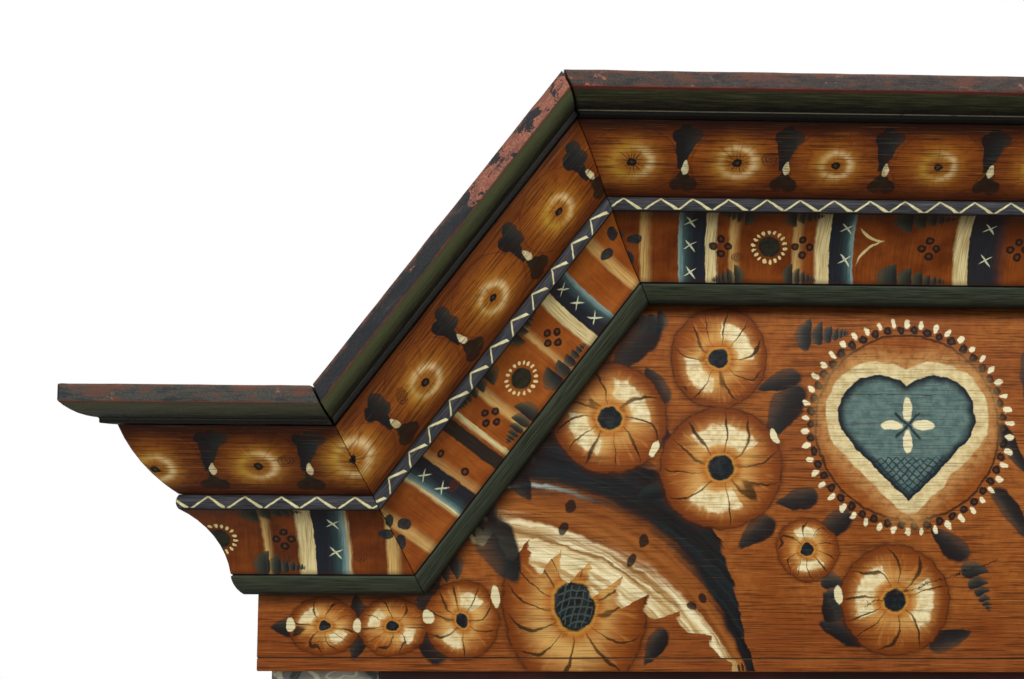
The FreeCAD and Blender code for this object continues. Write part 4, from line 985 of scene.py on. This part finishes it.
# every place in millimetres from the crown's middle and the floor, left half; the right half mirrors it
crownBoard = {
    "apples": [(-613, 1677, 29, 24, 0), (-556, 1677, 29, 24, 180), (-498, 1682, 33, 31, 100)],
    "gourds": [
        (-374, 1852, 47, 49, 250), (-280, 1904, 44, 41, 75),
        (-279, 1810, 51, 53, 120), (-132, 1700, 47, 46, 200), (-206, 1742, 27, 26, 310),
    ],
    "greatGourd": [(-404, 1694, 74, 60, 100)],
    "dabSwell": 1.14,
    "dabs": [
        (-352, 1915, 26, 16, 50), (-334, 1880, 15, 10, -60), (-226, 1858, 25, 15, 60),
        (-338, 1790, 12, 8, 20), (-466, 1740, 26, 19, 118), (-585, 1690, 12, 9, -80),
        (-585, 1663, 12, 9, 80), (-526, 1664, 18, 11, -50), (-528, 1700, 14, 10, 60),
        (-184, 1762, 17, 11, 35), (-84, 1748, 18, 11, -40), (-186, 1690, 15, 10, -70),
        (-28, 1772, 25, 9, 125), (-28, 1828, 22, 8, 120), (-11, 1894, 21, 9, 80),
        (-645, 1676, 10, 9, 0), (-336, 1660, 15, 9, 60), (-214, 1784, 16, 10, 10),
        (-330, 1836, 15, 10, 140), (-228, 1884, 17, 10, 20), (-250, 1756, 17, 11, 40),
        (-177, 1674, 19, 11, -20), (-86, 1668, 17, 10, 200), (-452, 1800, 18, 11, 120),
    ],
    "fans": [
        ((-446, 1826), 232, 46, 11), ((-478, 1776), 228, 48, 12), ((-504, 1729), 215, 42, 9),
        ((-330, 1934), 180, 34, 8), ((-206, 1926), 0, 46, 10), ((-64, 1726), -70, 44, 9),
        ((-184, 1716), -80, 40, 8),
    ],
    "lights": [
        (-584.5, 1678, 3.6, 5.5, 0), (-526, 1684, 5, 6, 20), (-470, 1702, 4, 9, 12), (-641, 1678, 4, 6, 0),
        (-180, 1704, 3.5, 8, 0), (-336, 1826, 3, 8, -25), (-233, 1838, 3, 7, 30),
    ],
    "arch": {"centre": (-478, 1540), "radius": 238, "half": 19, "lean": -22},
    "roundel": {"centre": (-118, 1846), "radius": 84, "beads": 46},
    "heart": {"tip": (-118, 1783), "size": 98},
    "stem": {"foot": 1690, "head": 1880, "half": 2},
    "crack": {"slope": 0.325, "foot": 1747.4, "from": -158, "to": -42},
    "shakes": [(1664, -655, -600), (1770, -520, -430), (1874, -180, -90)],  # height, from, to
    "seam": (1650.4, 1651.8),
}


def heartShape(f, here, tip, size):  # signed distance to a heart in its own size
    raw = f.local(here, tip, (size, size))
    rx, ry, _ = f.parts(raw)
    x = f.unsigned(rx)
    flat = f.join(x, ry)
    lobe = f.less(f.distance(flat, (0.25, 0.75, 0)), math.sqrt(2) / 4)
    slide = f.both(f.most(f.more(x, ry), 0), 0.5)
    low = f.least(f.distance(flat, (0, 1, 0)), f.distance(flat, f.join(slide, slide)))
    low = f.both(low, f.maths("SIGN", f.less(x, ry)))
    upper = f.maths("GREATER_THAN", f.more(x, ry), 1)
    gap = f.less(lobe, low)
    return f.line(gap, upper, low), raw


def sweepingLeaf(f, here, arch):
    # a great curled leaf: dark back, brown belly with pairs of dots, cream combed edge
    there = f.local(here, arch["centre"], (1, 1), arch["lean"])
    far = f.length(there)
    turn = around(f, there)
    swell = f.ease(f.unsigned(f.less(turn, math.pi / 2)), 0.78, 0.12, 0.18, 1.2)
    comb = f.noise(f.join(f.both(turn, 2), f.over(far, 7)), 1, 3, 0.6)
    band = f.over(f.less(far, arch["radius"]), f.both(swell, arch["half"]))
    frayed = f.wander(comb, 1.1, band)
    reach = f.bar(turn, math.pi / 2 - 0.80, math.pi / 2 + 0.74, 0.02, 0.05)
    back = f.both(f.ease(frayed, 3.05, 2.85), f.ease(frayed, 0.35, 1.35))
    f.lay(f.both(back, reach), f.blend(comb, 0.35, 0.7, "040a0d", "112023"), 0.98)
    belly = f.blend(comb, 0.35, 0.7, "885021", "6c3a15")
    f.lay(f.both(f.bar(frayed, -0.95, 0.55, 0.05, 0.6), reach), belly, 0.95)
    f.lay(f.both(f.bar(band, 0.86, 1, 0.05, 0.05), f.both(f.ease(turn, 1.55, 1.9), reach)), "9fb0a4", 0.8)
    tooth = f.maths("FRACT", f.line(band, 0.35, f.both(turn, 7.5)))
    edge = f.line(f.both(tooth, tooth), 1.1, -2.3)
    cream = f.both(f.ease(f.less(frayed, edge), -0.05, 0.08), f.ease(frayed, -0.25, -0.9))
    tone = f.blend(comb, 0.40, 0.62, "d6caa0", "a58550")
    f.lay(f.both(cream, reach), tone, 0.96)
    mask = f.both(f.both(f.bar(frayed, -0.95, -0.8, 0.06, 0.06), reach), f.ease(comb, 0.35, 0.55))
    f.lay(mask, "6a3a1a", 0.6)
    pair = f.fold(f.both(turn, 3.6), 0.5)
    spots = f.length(f.join(f.both(pair, 15), f.both(f.fold(f.more(band, 0.42), 0.42), 3.6)))
    spots = f.both(f.ease(spots, 1.05, 0.8), f.bar(band, -0.75, 0.85, 0.05, 0.05))
    f.lay(f.both(spots, reach), "15110f", 0.9)


def paintBoard():
    work = crownBoard
    f = Finish("crownBoardPaint")
    x, _, z = f.parts(f.unfold())
    x = f.both(x, -1)
    flat = f.join(x, z)
    blotch = f.noise(flat, 0.016, 3, 0.6)
    cloud = f.noise(flat, 0.13, 4, 0.66)
    here = f.shake(flat, (7, 7, 0), flat, 0.07, 4, 0.58)
    f.colour = f.blend(blotch, 0.35, 0.65, "7a4016", "8c5020")
    f.coat(cloud, 0.65, 0.35, "67330e", 0.5)
    f.coat(z, 1716, 1668, "6d3414", 0.55)
    f.coat(brushed(f, x, z, 60, 1), 0.46, 0.28, "b57a38", 0.35)
    f.coat(brushed(f, x, z, 46, 1.25, 2), 0.50, 0.64, "321608", 0.36)
    gourds(f, here, work["greatGourd"], cloud, 15, -0.6, 0.27, 0.045)
    sweepingLeaf(f, here, work["arch"])
    for place in work["fans"]:
        fan(f, here, *place)
    swell = work["dabSwell"]
    dabs(f, here, [(a, b, long * swell, broad * swell, turned) for a, b, long, broad, turned in work["dabs"]])
    gourds(f, here, work["apples"], cloud, 8, 0.3, 0.17)
    gourds(f, here, work["gourds"], cloud, 9, 0.62)
    # the beaded roundel and its heart
    radius, beads = work["roundel"]["radius"], work["roundel"]["beads"]
    there = f.local(here, work["roundel"]["centre"], (1, 1))
    far = f.length(there)
    f.coat(far, radius - 4, radius - 6, f.blend(cloud, 0.3, 0.7, "733910", "854817"), 0.92)
    f.lay(f.bar(far, radius - 6, radius - 4, 0.6, 0.8), "1a100b", 0.85)
    turn = f.fold(f.line(around(f, there), beads / (2 * math.pi), f.both(cloud, 0.35)), 0.5)
    pitch = 2 * math.pi * radius / beads
    out = f.less(far, radius)
    bead = f.length(f.join(f.both(turn, pitch), out))
    ringed(f, bead, (4.1, 3.2), (1.6, 0.8), "0f0f10", "4a2c1a", 0.7)
    tick = f.join(f.line(turn, -pitch / 2.2, pitch / 4.4), f.line(out, 0.26, -1.35))
    f.coat(f.length(tick), 1.1, 0.8, "cfc6a0", 0.95)
    d, raw = heartShape(f, here, work["heart"]["tip"], work["heart"]["size"])
    hx, hy, _ = f.parts(raw)
    f.lay(f.both(f.ease(d, 0.30, 0.1), f.ease(cloud, 0.15, 0.65)), "b98f55", 0.65)
    f.coat(f.wander(cloud, 0.02, d), 0.125, 0.105, f.blend(cloud, 0.3, 0.7, "cabd8e", "ad986a"), 0.96)
    inner = f.blend(cloud, 0.35, 0.7, "566a63", "3c5452")
    f.coat(d, 0.005, -0.005, f.blend(d, -0.01, -0.09, "0e1a22", inner))
    net = f.least(f.fold(f.more(hx, hy), 0.035), f.fold(f.less(hx, hy), 0.035))
    mask = f.both(f.both(f.ease(net, 0.012, 0.005), f.ease(d, -0.005, -0.02)), f.ease(hy, 0.40, 0.37))
    f.lay(mask, "0f1c24", 0.85)
    bloom = f.vector("ABSOLUTE", f.vector("SUBTRACT", raw, (0, 0.66, 0)))
    qx, qy, _ = f.parts(bloom)
    petal = f.join(f.line(f.most(qx, qy), 9.5, -1.35), f.both(f.least(qx, qy), 22))
    f.coat(f.length(petal), 1.05, 0.85, "cfc49b", 0.95)
    cross = f.both(f.ease(f.unsigned(f.less(qx, qy)), 0.022, 0.008), f.ease(f.more(qx, qy), 0.24, 0.2))
    f.lay(cross, "111a1e", 0.9)
    # stem of the middle flower
    stem = work["stem"]
    mask = f.both(f.bar(x, -stem["half"], stem["half"], 0.4, 0.4), f.bar(z, stem["foot"], stem["head"], 2, 2))
    f.lay(mask, "171f1a", 0.9)
    _, r = bestOf(f, here, work["lights"])
    f.coat(r, 1.1, 0.88, "cbc096", 0.95)
    # cracks, the seam, and painted shade under the cornice
    crack = work["crack"]
    bend = f.line(x, -crack["slope"], f.less(z, crack["foot"]))
    bend = f.unsigned(f.wander(cloud, 16, bend))
    f.lay(f.both(f.ease(bend, 0.75, 0.3), f.bar(x, crack["from"], crack["to"], 5, 5)), "170b06", 0.85)
    for at, low, high in work["shakes"]:
        line = f.unsigned(f.wander(cloud, 5, f.less(z, at)))
        f.lay(f.both(f.ease(line, 0.5, 0.2), f.bar(x, low, high, 8, 8)), "1c0e08", 0.7)
    # painted shade: the board darkened just under the top run, the rakes and the flats
    c, s = math.cos(rake), math.sin(rake)
    footX, footZ = runs["rake"]["origin"]
    under = f.line(x, s, f.line(z, -c, footZ * c - footX * s))
    lip = f.least(f.less(runs["top"]["origin"][1], z), under)
    f.lay(f.both(f.ease(lip, 15, 0), f.ease(z, 1700, 1706)), "1a0b05", 0.75)
    f.lay(f.both(f.ease(z, 1690, 1704), f.ease(x, -525, -545)), "1a0b05", 0.7)
    f.lay(f.bar(z, *work["seam"], 0.3, 0.3), "120b08", 0.9)
    aged(f, x, z, "2a1206", "b8864a", 0.42, 1.25)
    f.relief = brushed(f, x, z, 80, 1.7)
    return f.done(f.ramp(blotch, 0.3, 0.7, 0.50, 0.62), 0.06, 0.35, 0.0006)


crownBoardPaint = paintBoard()


def longGrain(f, axis, length, width):
    scale = [1 / width] * 3
    scale["xyz".index(axis)] = 1 / length
    return f.vector("MULTIPLY", f.place, tuple(scale))


def edgeWear(f, radius=0.004):
    bevel = f.fill("ShaderNodeBevel", radius, samples=4).outputs[0]
    flat = f.add("ShaderNodeNewGeometry").outputs["Normal"]
    return f.less(1, f.vector("DOT_PRODUCT", bevel, flat))


pine = {"board": 0.219, "ring": 0.0046, "knotsAcross": 6.5, "knotsAlong": 3}  # metres, and knots to the metre


def barePine(name, axis, light="8f6d42", dark="6a4a2a", old=0.45, joints=False):
    # flat-sawn boards side by side, each with its own heart, rings, knots and age
    f = Finish(name)
    x, y, z = f.parts(f.place)
    up, over, deep = {"x": (x, z, y), "y": (y, x, z), "z": (z, x, y)}[axis]
    place = f.line(over, 1 / pine["board"], 3)
    board = f.maths("FLOOR", place)
    odd = f.chance(f.more(board, 0.37))
    sway = f.noise(f.join(f.both(up, 2.2), f.line(over, 9, board), deep), 1, 3, 0.55)
    heart = f.line(f.maths("FRACT", place), pine["board"], f.line(odd, -0.12, -0.05))
    heart = f.wander(sway, 0.05, heart)
    below = f.line(up, f.line(odd, 0.08, -0.04), f.line(odd, 0.04, 0.045))
    below = f.more(below, deep)
    far = f.length(f.join(heart, below))
    cell = f.add("ShaderNodeTexVoronoi", feature="F1")
    f.put(cell.inputs["Vector"], longGrain(f, axis, 1 / pine["knotsAlong"], 1 / pine["knotsAcross"]))
    f.put(cell.inputs["Scale"], 1)
    knotFar = cell.outputs["Distance"]
    far = f.more(far, f.ease(knotFar, 0.3, 0.08, 0, 0.011))
    rings = f.maths("FRACT", f.both(far, 1 / pine["ring"]))
    fine = f.noise(longGrain(f, axis, 0.16, 0.0012), 1, 3, 0.62)
    dust = f.noise(f.place, 2.6, 4, 0.6)
    f.colour = f.mix(f.line(odd, 0.5, 0.1), light, dark)
    f.lay(f.both(f.ease(rings, 0.35, 0.92), f.ease(rings, 1, 0.94)), dark, 0.65)
    f.coat(fine, 0.46, 0.7, "4b3320", 0.4)
    f.coat(fine, 0.45, 0.3, light, 0.4)
    f.coat(dust, 0.42, 0.72, "4a3a28", old)
    f.coat(knotFar, 0.14, 0.09, "5c3a1e", 0.7)
    f.coat(knotFar, 0.085, 0.07, "38210f", 0.9)
    if joints:
        f.coat(f.fold(place, 0.5), 0.010, 0.004, "1c130b", 0.9)
    f.relief = f.line(rings, 0.4, fine)
    return f.done(f.ramp(fine, 0.3, 0.7, 0.66, 0.8), 0.15, 0.4, 0.0006)


def oldPaint(name, axis, first, second, under="8a6a3c", wear=0.5, roughness=0.5, edge="c2a468"):
    f = Finish(name)
    along = longGrain(f, axis, 0.3, 0.006)
    brush = f.noise(along, 0.9, 3, 0.6)
    cloud = f.noise(f.place, 7, 4, 0.6)
    fine = f.noise(f.place, 140, 4, 0.65)
    f.colour = f.blend(cloud, 0.3, 0.7, first, second)
    f.coat(brush, 0.52, 0.74, "14110e", 0.35)
    chips = f.line(fine, 0.16, cloud)
    f.coat(chips, 0.80, 0.815, under, wear)
    rub = f.wander(cloud, 0.22, edgeWear(f))
    f.coat(f.wander(fine, 0.18, rub), 0.10, 0.19, edge, wear)
    f.relief = f.more(brush, f.both(fine, 0.5))
    return f.done(f.ramp(cloud, 0.3, 0.7, roughness - 0.06, roughness + 0.08), 0.14, 0.35, 0.0006)


def marbled(name):
    f = Finish(name)
    swirl = f.shake(f.place, (0.09, 0.09, 0.09), f.place, 9, 3, 0.6)
    vein = f.unsigned(f.less(f.noise(swirl, 11, 4, 0.55), 0.5))
    cloud = f.noise(f.place, 16, 4, 0.6)
    fine = f.noise(f.place, 120, 3, 0.6)
    f.colour = f.blend(cloud, 0.3, 0.7, "66655d", "948f7d")
    f.coat(f.noise(swirl, 13, 3, 0.6), 0.50, 0.68, "3b3f3f", 0.55)
    f.coat(f.noise(swirl, 21, 3, 0.6), 0.56, 0.66, "a59f89", 0.6)
    f.coat(vein, 0.020, 0.003, "1f2224", 0.8)
    f.coat(f.unsigned(f.less(vein, 0.055)), 0.012, 0.002, "c1baa2", 0.6)
    f.coat(f.noise(swirl, 31, 2, 0.5), 0.64, 0.72, "7a4a2c", 0.45)
    rub = f.wander(cloud, 0.25, edgeWear(f))
    f.coat(rub, 0.10, 0.2, "a9834d", 0.8)
    f.relief = fine
    return f.done(f.ramp(cloud, 0.3, 0.7, 0.48, 0.6), 0.12, 0.3, 0.0005)


def forgedIron(name):
    f = Finish(name)
    cloud = f.noise(f.place, 38, 4, 0.62)
    dent = f.noise(f.place, 110, 2, 0.5)
    f.colour = f.blend(cloud, 0.3, 0.7, "1d1b1b", "3a3634")
    rust = f.ease(f.noise(f.place, 60, 5, 0.7), 0.54, 0.66)
    f.lay(rust, "5a3320", 0.75)
    rub = f.ease(edgeWear(f, 0.0015), 0.08, 0.22)
    f.lay(rub, "6b6662", 0.5)
    f.relief = f.more(dent, f.both(rust, 0.3))
    return f.done(f.ramp(rust, 0, 1, 0.46, 0.85), 0.5, 0.5, 0.0009, f.ramp(rust, 0, 1, 0.75, 0.1))


def turnedWood(name):
    f = Finish(name)
    along = longGrain(f, "y", 0.05, 0.002)
    grain = f.noise(along, 0.8, 3, 0.6)
    f.colour = f.blend(grain, 0.35, 0.68, "2c170d", "5a331b")
    rub = f.ease(edgeWear(f, 0.003), 0.06, 0.25)
    f.lay(rub, "7d5229", 0.6)
    f.relief = grain
    return f.done(0.38, 0.4, 0.25, 0.0004)


# millimetres; the left half of a posy about the panel's middle, the other half mirrors it
doorBoard = {
    "middle": 306,
    "split": 930,
    "lower": 714,
    "rise": 527,
    "lowerSize": 0.84,
    "sizeRise": 0.31,
    "halfWide": 149,
    "halfTall": 168,
    "border": 28,
    "tallRise": 95,
    "stem": (-118, 128),
    "dabs": [
        (-38, -46, 36, 12, 142), (-40, 8, 30, 10, 140), (-58, -98, 30, 11, 170),
        (-88, 66, 24, 10, 110), (-104, -60, 24, 11, 80), (-22, 62, 24, 9, 125),
        (-92, -128, 20, 9, 150), (-32, 150, 22, 9, 60),
    ],
    "fans": [((-52, -120), 180, 62, 10), ((-96, 112), 90, 58, 9)],
    "gourds": [(-82, 22, 33, 35, 20), (-76, -58, 24, 24, 100), (0, 112, 44, 46, 62)],
    "lights": [
        (-50, 44, 3.2, 8, 20), (-48, -18, 3.2, 7, -20), (-24, 74, 3, 7, 0),
        (-112, 0, 3, 8, 0), (-118, 62, 3, 6, 0),
    ],
    "urn": {"foot": -150, "head": -100, "hoops": ((-112, -107), (-143, -139))},
}


def paintDoorPanels(name):
    work = doorBoard
    f = Finish(name)
    x, y, z = f.parts(f.unfold())
    side = f.less(x, work["middle"])
    x = f.both(f.unsigned(side), -1)
    upper = f.maths("GREATER_THAN", z, work["split"])
    z = f.less(z, f.line(upper, work["rise"], work["lower"]))
    size = f.line(upper, work["sizeRise"], work["lowerSize"])
    flat = f.vector("DIVIDE", f.join(x, z), f.join(size, size, 1))
    grain = f.noise(f.join(f.over(side, 1.7), f.over(z, 80), y), 1, 3, 0.62, 0.4)
    cloud = f.noise(f.join(side, z), 0.05, 3, 0.62)
    here = f.shake(flat, (6, 6, 0), f.join(side, z, upper), 0.06, 3, 0.55)
    f.colour = f.blend(cloud, 0.3, 0.7, "6f350d", "864616")
    f.coat(f.noise(f.place, 5, 3, 0.6), 0.62, 0.36, "602c0b", 0.55)
    f.coat(grain, 0.42, 0.26, "a8692f", 0.4)
    # the stem and its leaves
    hx, hz, _ = f.parts(here)
    f.lay(f.both(f.ease(hx, -3.2, -1.8), f.bar(hz, *work["stem"], 4, 4)), "1f2a22", 0.92)
    dabs(f, here, work["dabs"])
    for place in work["fans"]:
        fan(f, here, *place)
    foot, head = work["urn"]["foot"], work["urn"]["head"]
    urn = f.ease(hz, foot - 8, head - 4, 20, 40)
    urn = f.both(f.ease(f.more(hx, urn), -0.8, 0.8), f.bar(hz, foot, head, 0.8, 0.8))
    f.lay(urn, f.blend(hx, -36, -6, "16222c", "3f6468"), 0.96)
    for hoop in work["urn"]["hoops"]:
        f.lay(f.both(urn, f.bar(hz, *hoop, 0.6, 0.6)), "cfc08c", 0.9)
    gourds(f, here, work["gourds"], cloud, 11, 0.76)
    _, r = bestOf(f, here, work["lights"])
    f.coat(r, 1.1, 0.88, "d3c795", 0.95)
    # border: a cream line inside a dark edge
    inX = f.less(work["halfWide"], f.both(x, -1))
    tall = f.line(upper, work["tallRise"], work["halfTall"])
    inZ = f.less(tall, f.more(f.unsigned(z), work["border"]))
    inside = f.least(inX, inZ)
    f.coat(inside, 7.5, 6.8, "1b2a2d", 0.97)
    f.lay(f.bar(inside, 4.6, 7, 0.5, 0.5), "cdbd88", 0.92)
    aged(f, z, side, "2a1206", "b8864a", 0.6, 1.3)
    f.relief = grain
    return f.done(f.ramp(cloud, 0.3, 0.7, 0.48, 0.6), 0.07, 0.35, 0.0006)


railMiddles = {"head": 1615, "waist": 416, "base": 145}  # millimetres above the floor
railDabs = {"pitch": 34, "lean": 0.35, "half": (6, 13), "dot": (3, 3.4)}  # millimetres


def paintRail(name, middle):
    # dark red-black ground with a row of straw leaf dabs
    pitch, half, dot = railDabs["pitch"], railDabs["half"], railDabs["dot"]
    f = Finish(name)
    x, _, z = f.parts(f.unfold())
    brush = f.noise(f.join(f.over(x, 70), f.over(z, 1.3)), 1, 3, 0.6)
    cloud = f.noise(f.place, 9, 4, 0.6)
    f.colour = f.blend(cloud, 0.3, 0.7, "24120e", "46201a")
    cell = f.whole(f.over(x, pitch))
    lx = f.less(x, f.both(cell, pitch))
    lz = f.less(z, middle)
    lx = f.line(lz, railDabs["lean"], lx)
    r = f.length(f.join(f.over(lx, half[0]), f.over(lz, half[1])))
    mask = f.both(f.ease(r, 1.06, 0.9), f.ease(f.chance(cell), 0.05, 0.12))
    f.lay(mask, f.blend(lx, -5, 5, "b08a3a", "cdb468"), 0.92)
    r = f.length(f.join(f.over(f.less(f.fold(x, pitch / 2), pitch / 2), dot[0]), f.over(lz, dot[1])))
    f.coat(r, 1.1, 0.85, "cdbd88", 0.9)
    rub = f.wander(cloud, 0.25, edgeWear(f))
    f.coat(rub, 0.09, 0.2, "9a6a36", 0.7)
    f.coat(brush, 0.52, 0.74, "120b08", 0.4)
    f.relief = brush
    return f.done(f.ramp(cloud, 0.3, 0.7, 0.46, 0.6), 0.1, 0.3, 0.0006)


ropeTurn = 21  # millimetres of each colour


def paintMoulding(name):
    # cream and green by turns, as a rope would lie, worn along the arris
    f = Finish(name)
    x, y, z = f.parts(f.unfold())
    cloud = f.noise(f.place, 14, 4, 0.6)
    fine = f.noise(f.place, 150, 3, 0.6)
    slant = f.more(f.more(x, z), f.both(y, 1.2))
    slant = f.wander(cloud, 7, slant)
    stripe = f.ease(f.fold(slant, ropeTurn), 9.6, 11.4)
    f.colour = f.mix(stripe, "c3b481", "2b3a35")
    f.coat(cloud, 0.55, 0.75, "7b5a33", 0.4)
    rub = f.wander(fine, 0.25, edgeWear(f, 0.003))
    f.coat(rub, 0.1, 0.22, "8d6636", 0.7)
    f.relief = fine
    return f.done(f.ramp(cloud, 0.3, 0.7, 0.46, 0.6), 0.1, 0.3, 0.0005)


def dress(node, finish, edge=0.0008, second=None, where=None, smooth=30):
    piece = copyOf(node)
    if edge:
        softenEdges(piece, edge, 2, smooth + 2)
    standIn(piece, node, finish, smooth)
    if second is not None:
        secondFinish(piece, second, where)


pineX = barePine("barePineAcross", "x")
pineY = barePine("barePineDeep", "y")
pineZ = barePine("barePineUp", "z")
backPine = barePine("backBoardPine", "z", old=0.6, joints=True)
greenZ = oldPaint("greenSidePaint", "z", "232d27", "33423a")
greenX = oldPaint("greenMouldPaint", "x", "232d27", "33423a")
browned = oldPaint("brownCrownPaint", "y", "67330f", "7d4216", "4a2a14")
doorGreenZ = oldPaint("doorStilePaint", "z", "1b2a2b", "2c4140")
doorGreenX = oldPaint("doorRailPaint", "x", "1b2a2b", "2c4140")
footBlack = oldPaint("footPaint", "z", "1a1614", "2d2320", "6b4a2a", 0.6, 0.55, "8a6236")
insideZ = barePine("doorBackPine", "z", "937148", "6d4d2e", 0.35)
insideX = barePine("doorRailBackPine", "x", "937148", "6d4d2e", 0.35)
marble = marbled("marbledPaint")
iron = forgedIron("forgedIron")
knobWood = turnedWood("knobWood")
panels = paintDoorPanels("doorPanelPaint")
railPaint = {name: paintRail(name + "RailPaint", middle) for name, middle in railMiddles.items()}
rope = paintMoulding("mouldingPaint")
print("finishes mixed")


def facesBack(normal, centre):
    return normal.y > 0.5


def facesIn(normal, centre):
    return normal.x * centre.x < -0.2


drawerSideBoard = 0.0145  # a little more than the board's thickness


def dressCase():
    dress("crown_tympanum_board", crownBoardPaint, 0.0008, pineX, facesBack)
    dress("crown_floor_board", crownBoardPaint, 0.0012, pineX, lambda n, c: abs(n.z) > 0.5 or n.y > 0.5)
    dress("crown_side_boards", browned, 0.0008, pineY, facesIn)
    dress("crown_back_board", pineX)
    dress("crown_roof_boards", pineY, 0.0012)
    dress("crown_pegs", pineZ, 0.0006)
    dress("back_boards", backPine, 0.0008)
    for node in ("case_floor_board", "case_top_board", "shelves"):
        dress(node, pineX)
    for node in ("shelf_cleats", "drawer_runners"):
        dress(node, pineY)
    dress("case_side_left", greenZ, 0.001, pineZ, facesIn)
    dress("case_side_right", greenZ, 0.001, pineZ, facesIn)
    dress("corner_posts", marble, 0.0015, pineZ, facesBack)
    dress("centre_post", marble, 0.0008, pineZ, facesBack, smooth=38)
    for name, paint in railPaint.items():
        dress(name + "_rail", paint, 0.001, pineX, facesBack)
    dress("waist_moulding", greenX, 0.0008)
    dress("base_moulding", greenX, 0.0008)
    dress("feet", footBlack, 0.0008)
    dress("drawer_front", doorGreenX, 0.0012, pineX, facesBack)
    # the drawer's side boards have their grain front to back
    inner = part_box("drawer_box")[1][0] - drawerSideBoard
    dress("drawer_box", pineX, second=pineY, where=lambda n, c: abs(c.x) > inner)
    dress("drawer_knobs", knobWood, 0, smooth=38)
    dress("hinge_frame_leaves", iron, 0.0003, smooth=38)
    for side in ("left", "right"):
        door = "door_" + side + "_"
        dress(door + "stiles", doorGreenZ, 0.001, insideZ, facesBack)
        dress(door + "rails", doorGreenX, 0.001, insideX, facesBack)
        dress(door + "panels", panels, 0.0008, insideZ, facesBack)
        dress(door + "mouldings", rope, 0.0004)
        for ending in ("hinges", "lock", "lock_bolt", "key"):
            dress(door + ending, iron, 0.0003, smooth=38)
    for piece in corniceSet:  # the sawn ends at the back show bare wood
        secondFinish(piece, pineY, lambda n, c: n.y > 0.9)
    print("case, doors and drawer dressed")


dressCase()


hingeNails = {  # metres; four to a leaf, hammered square
    "across": 0.0054,
    "edge": 0.0005,
    "point": 0.0009,
    "sunk": 0.0001,
    "soften": 0.0003,
    "pin": (0.566, 0.632, 1.398),
    "leafFace": -0.1857,
    "rows": ((0.019, 0.012), (0.037, 0.026)),
}


def forgeNail(work):
    # a square head beaten up to a blunt point
    bpy.ops.mesh.primitive_cube_add(size=work["across"])
    nail = bpy.context.object
    nail.name = nail.data.name = "nailHead"
    bpy.ops.object.mode_set(mode="EDIT")
    bpy.ops.mesh.select_all(action="SELECT")
    bpy.ops.transform.resize(value=(1, work["edge"] / work["across"], 1))
    bpy.ops.mesh.select_all(action="DESELECT")
    bpy.ops.mesh.select_mode(type="FACE")
    bpy.ops.object.mode_set(mode="OBJECT")
    for face in nail.data.polygons:
        face.select = face.normal.y < -0.9
    bpy.ops.object.mode_set(mode="EDIT")
    bpy.ops.mesh.extrude_region_move(TRANSFORM_OT_translate={"value": (0, -work["point"], 0)})
    bpy.ops.transform.resize(value=(0.36, 1, 0.36))
    bpy.ops.object.mode_set(mode="OBJECT")
    softenEdges(nail, work["soften"], 2, 20)
    return nail


def nailLeaves():
    work = hingeNails
    nail = forgeNail(work)
    x, low, high = work["pin"]
    face = work["leafFace"] - work["edge"] / 2 + work["sunk"]
    for side, sign in (("left", -1), ("right", 1)):
        for body, way in (("case", 1), ("door_" + side, -1)):
            heads = []
            for middle in (low, high):
                for out, up in work["rows"]:
                    for turn in (-1, 1):
                        head = nail.copy()
                        head.data = nail.data.copy()
                        bpy.context.collection.objects.link(head)
                        head.location = (sign * (x + way * out), face, middle + turn * up)
                        head.rotation_euler = (0, math.radians((len(heads) * 37 + 11) % 23 - 11), 0)
                        heads.append(head)
            bpy.ops.object.select_all(action="DESELECT")
            for head in heads:
                head.select_set(True)
            bpy.context.view_layer.objects.active = heads[0]
            bpy.ops.object.transform_apply(location=True, rotation=True, scale=True)
            bpy.ops.object.join()
            row = bpy.context.object
            row.name = row.data.name = "hingeNails" + body.title().replace("_", "") + side.capitalize()
            row.data.materials.append(iron)
            bpy.ops.object.shade_smooth_by_angle(angle=math.radians(25))
            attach(row, bodyOf["hinge_frame_leaves"] if way > 0 else bodyOf["door_" + side + "_hinges"])
    bpy.data.objects.remove(nail)
    print("hinge leaves nailed")


nailLeaves()
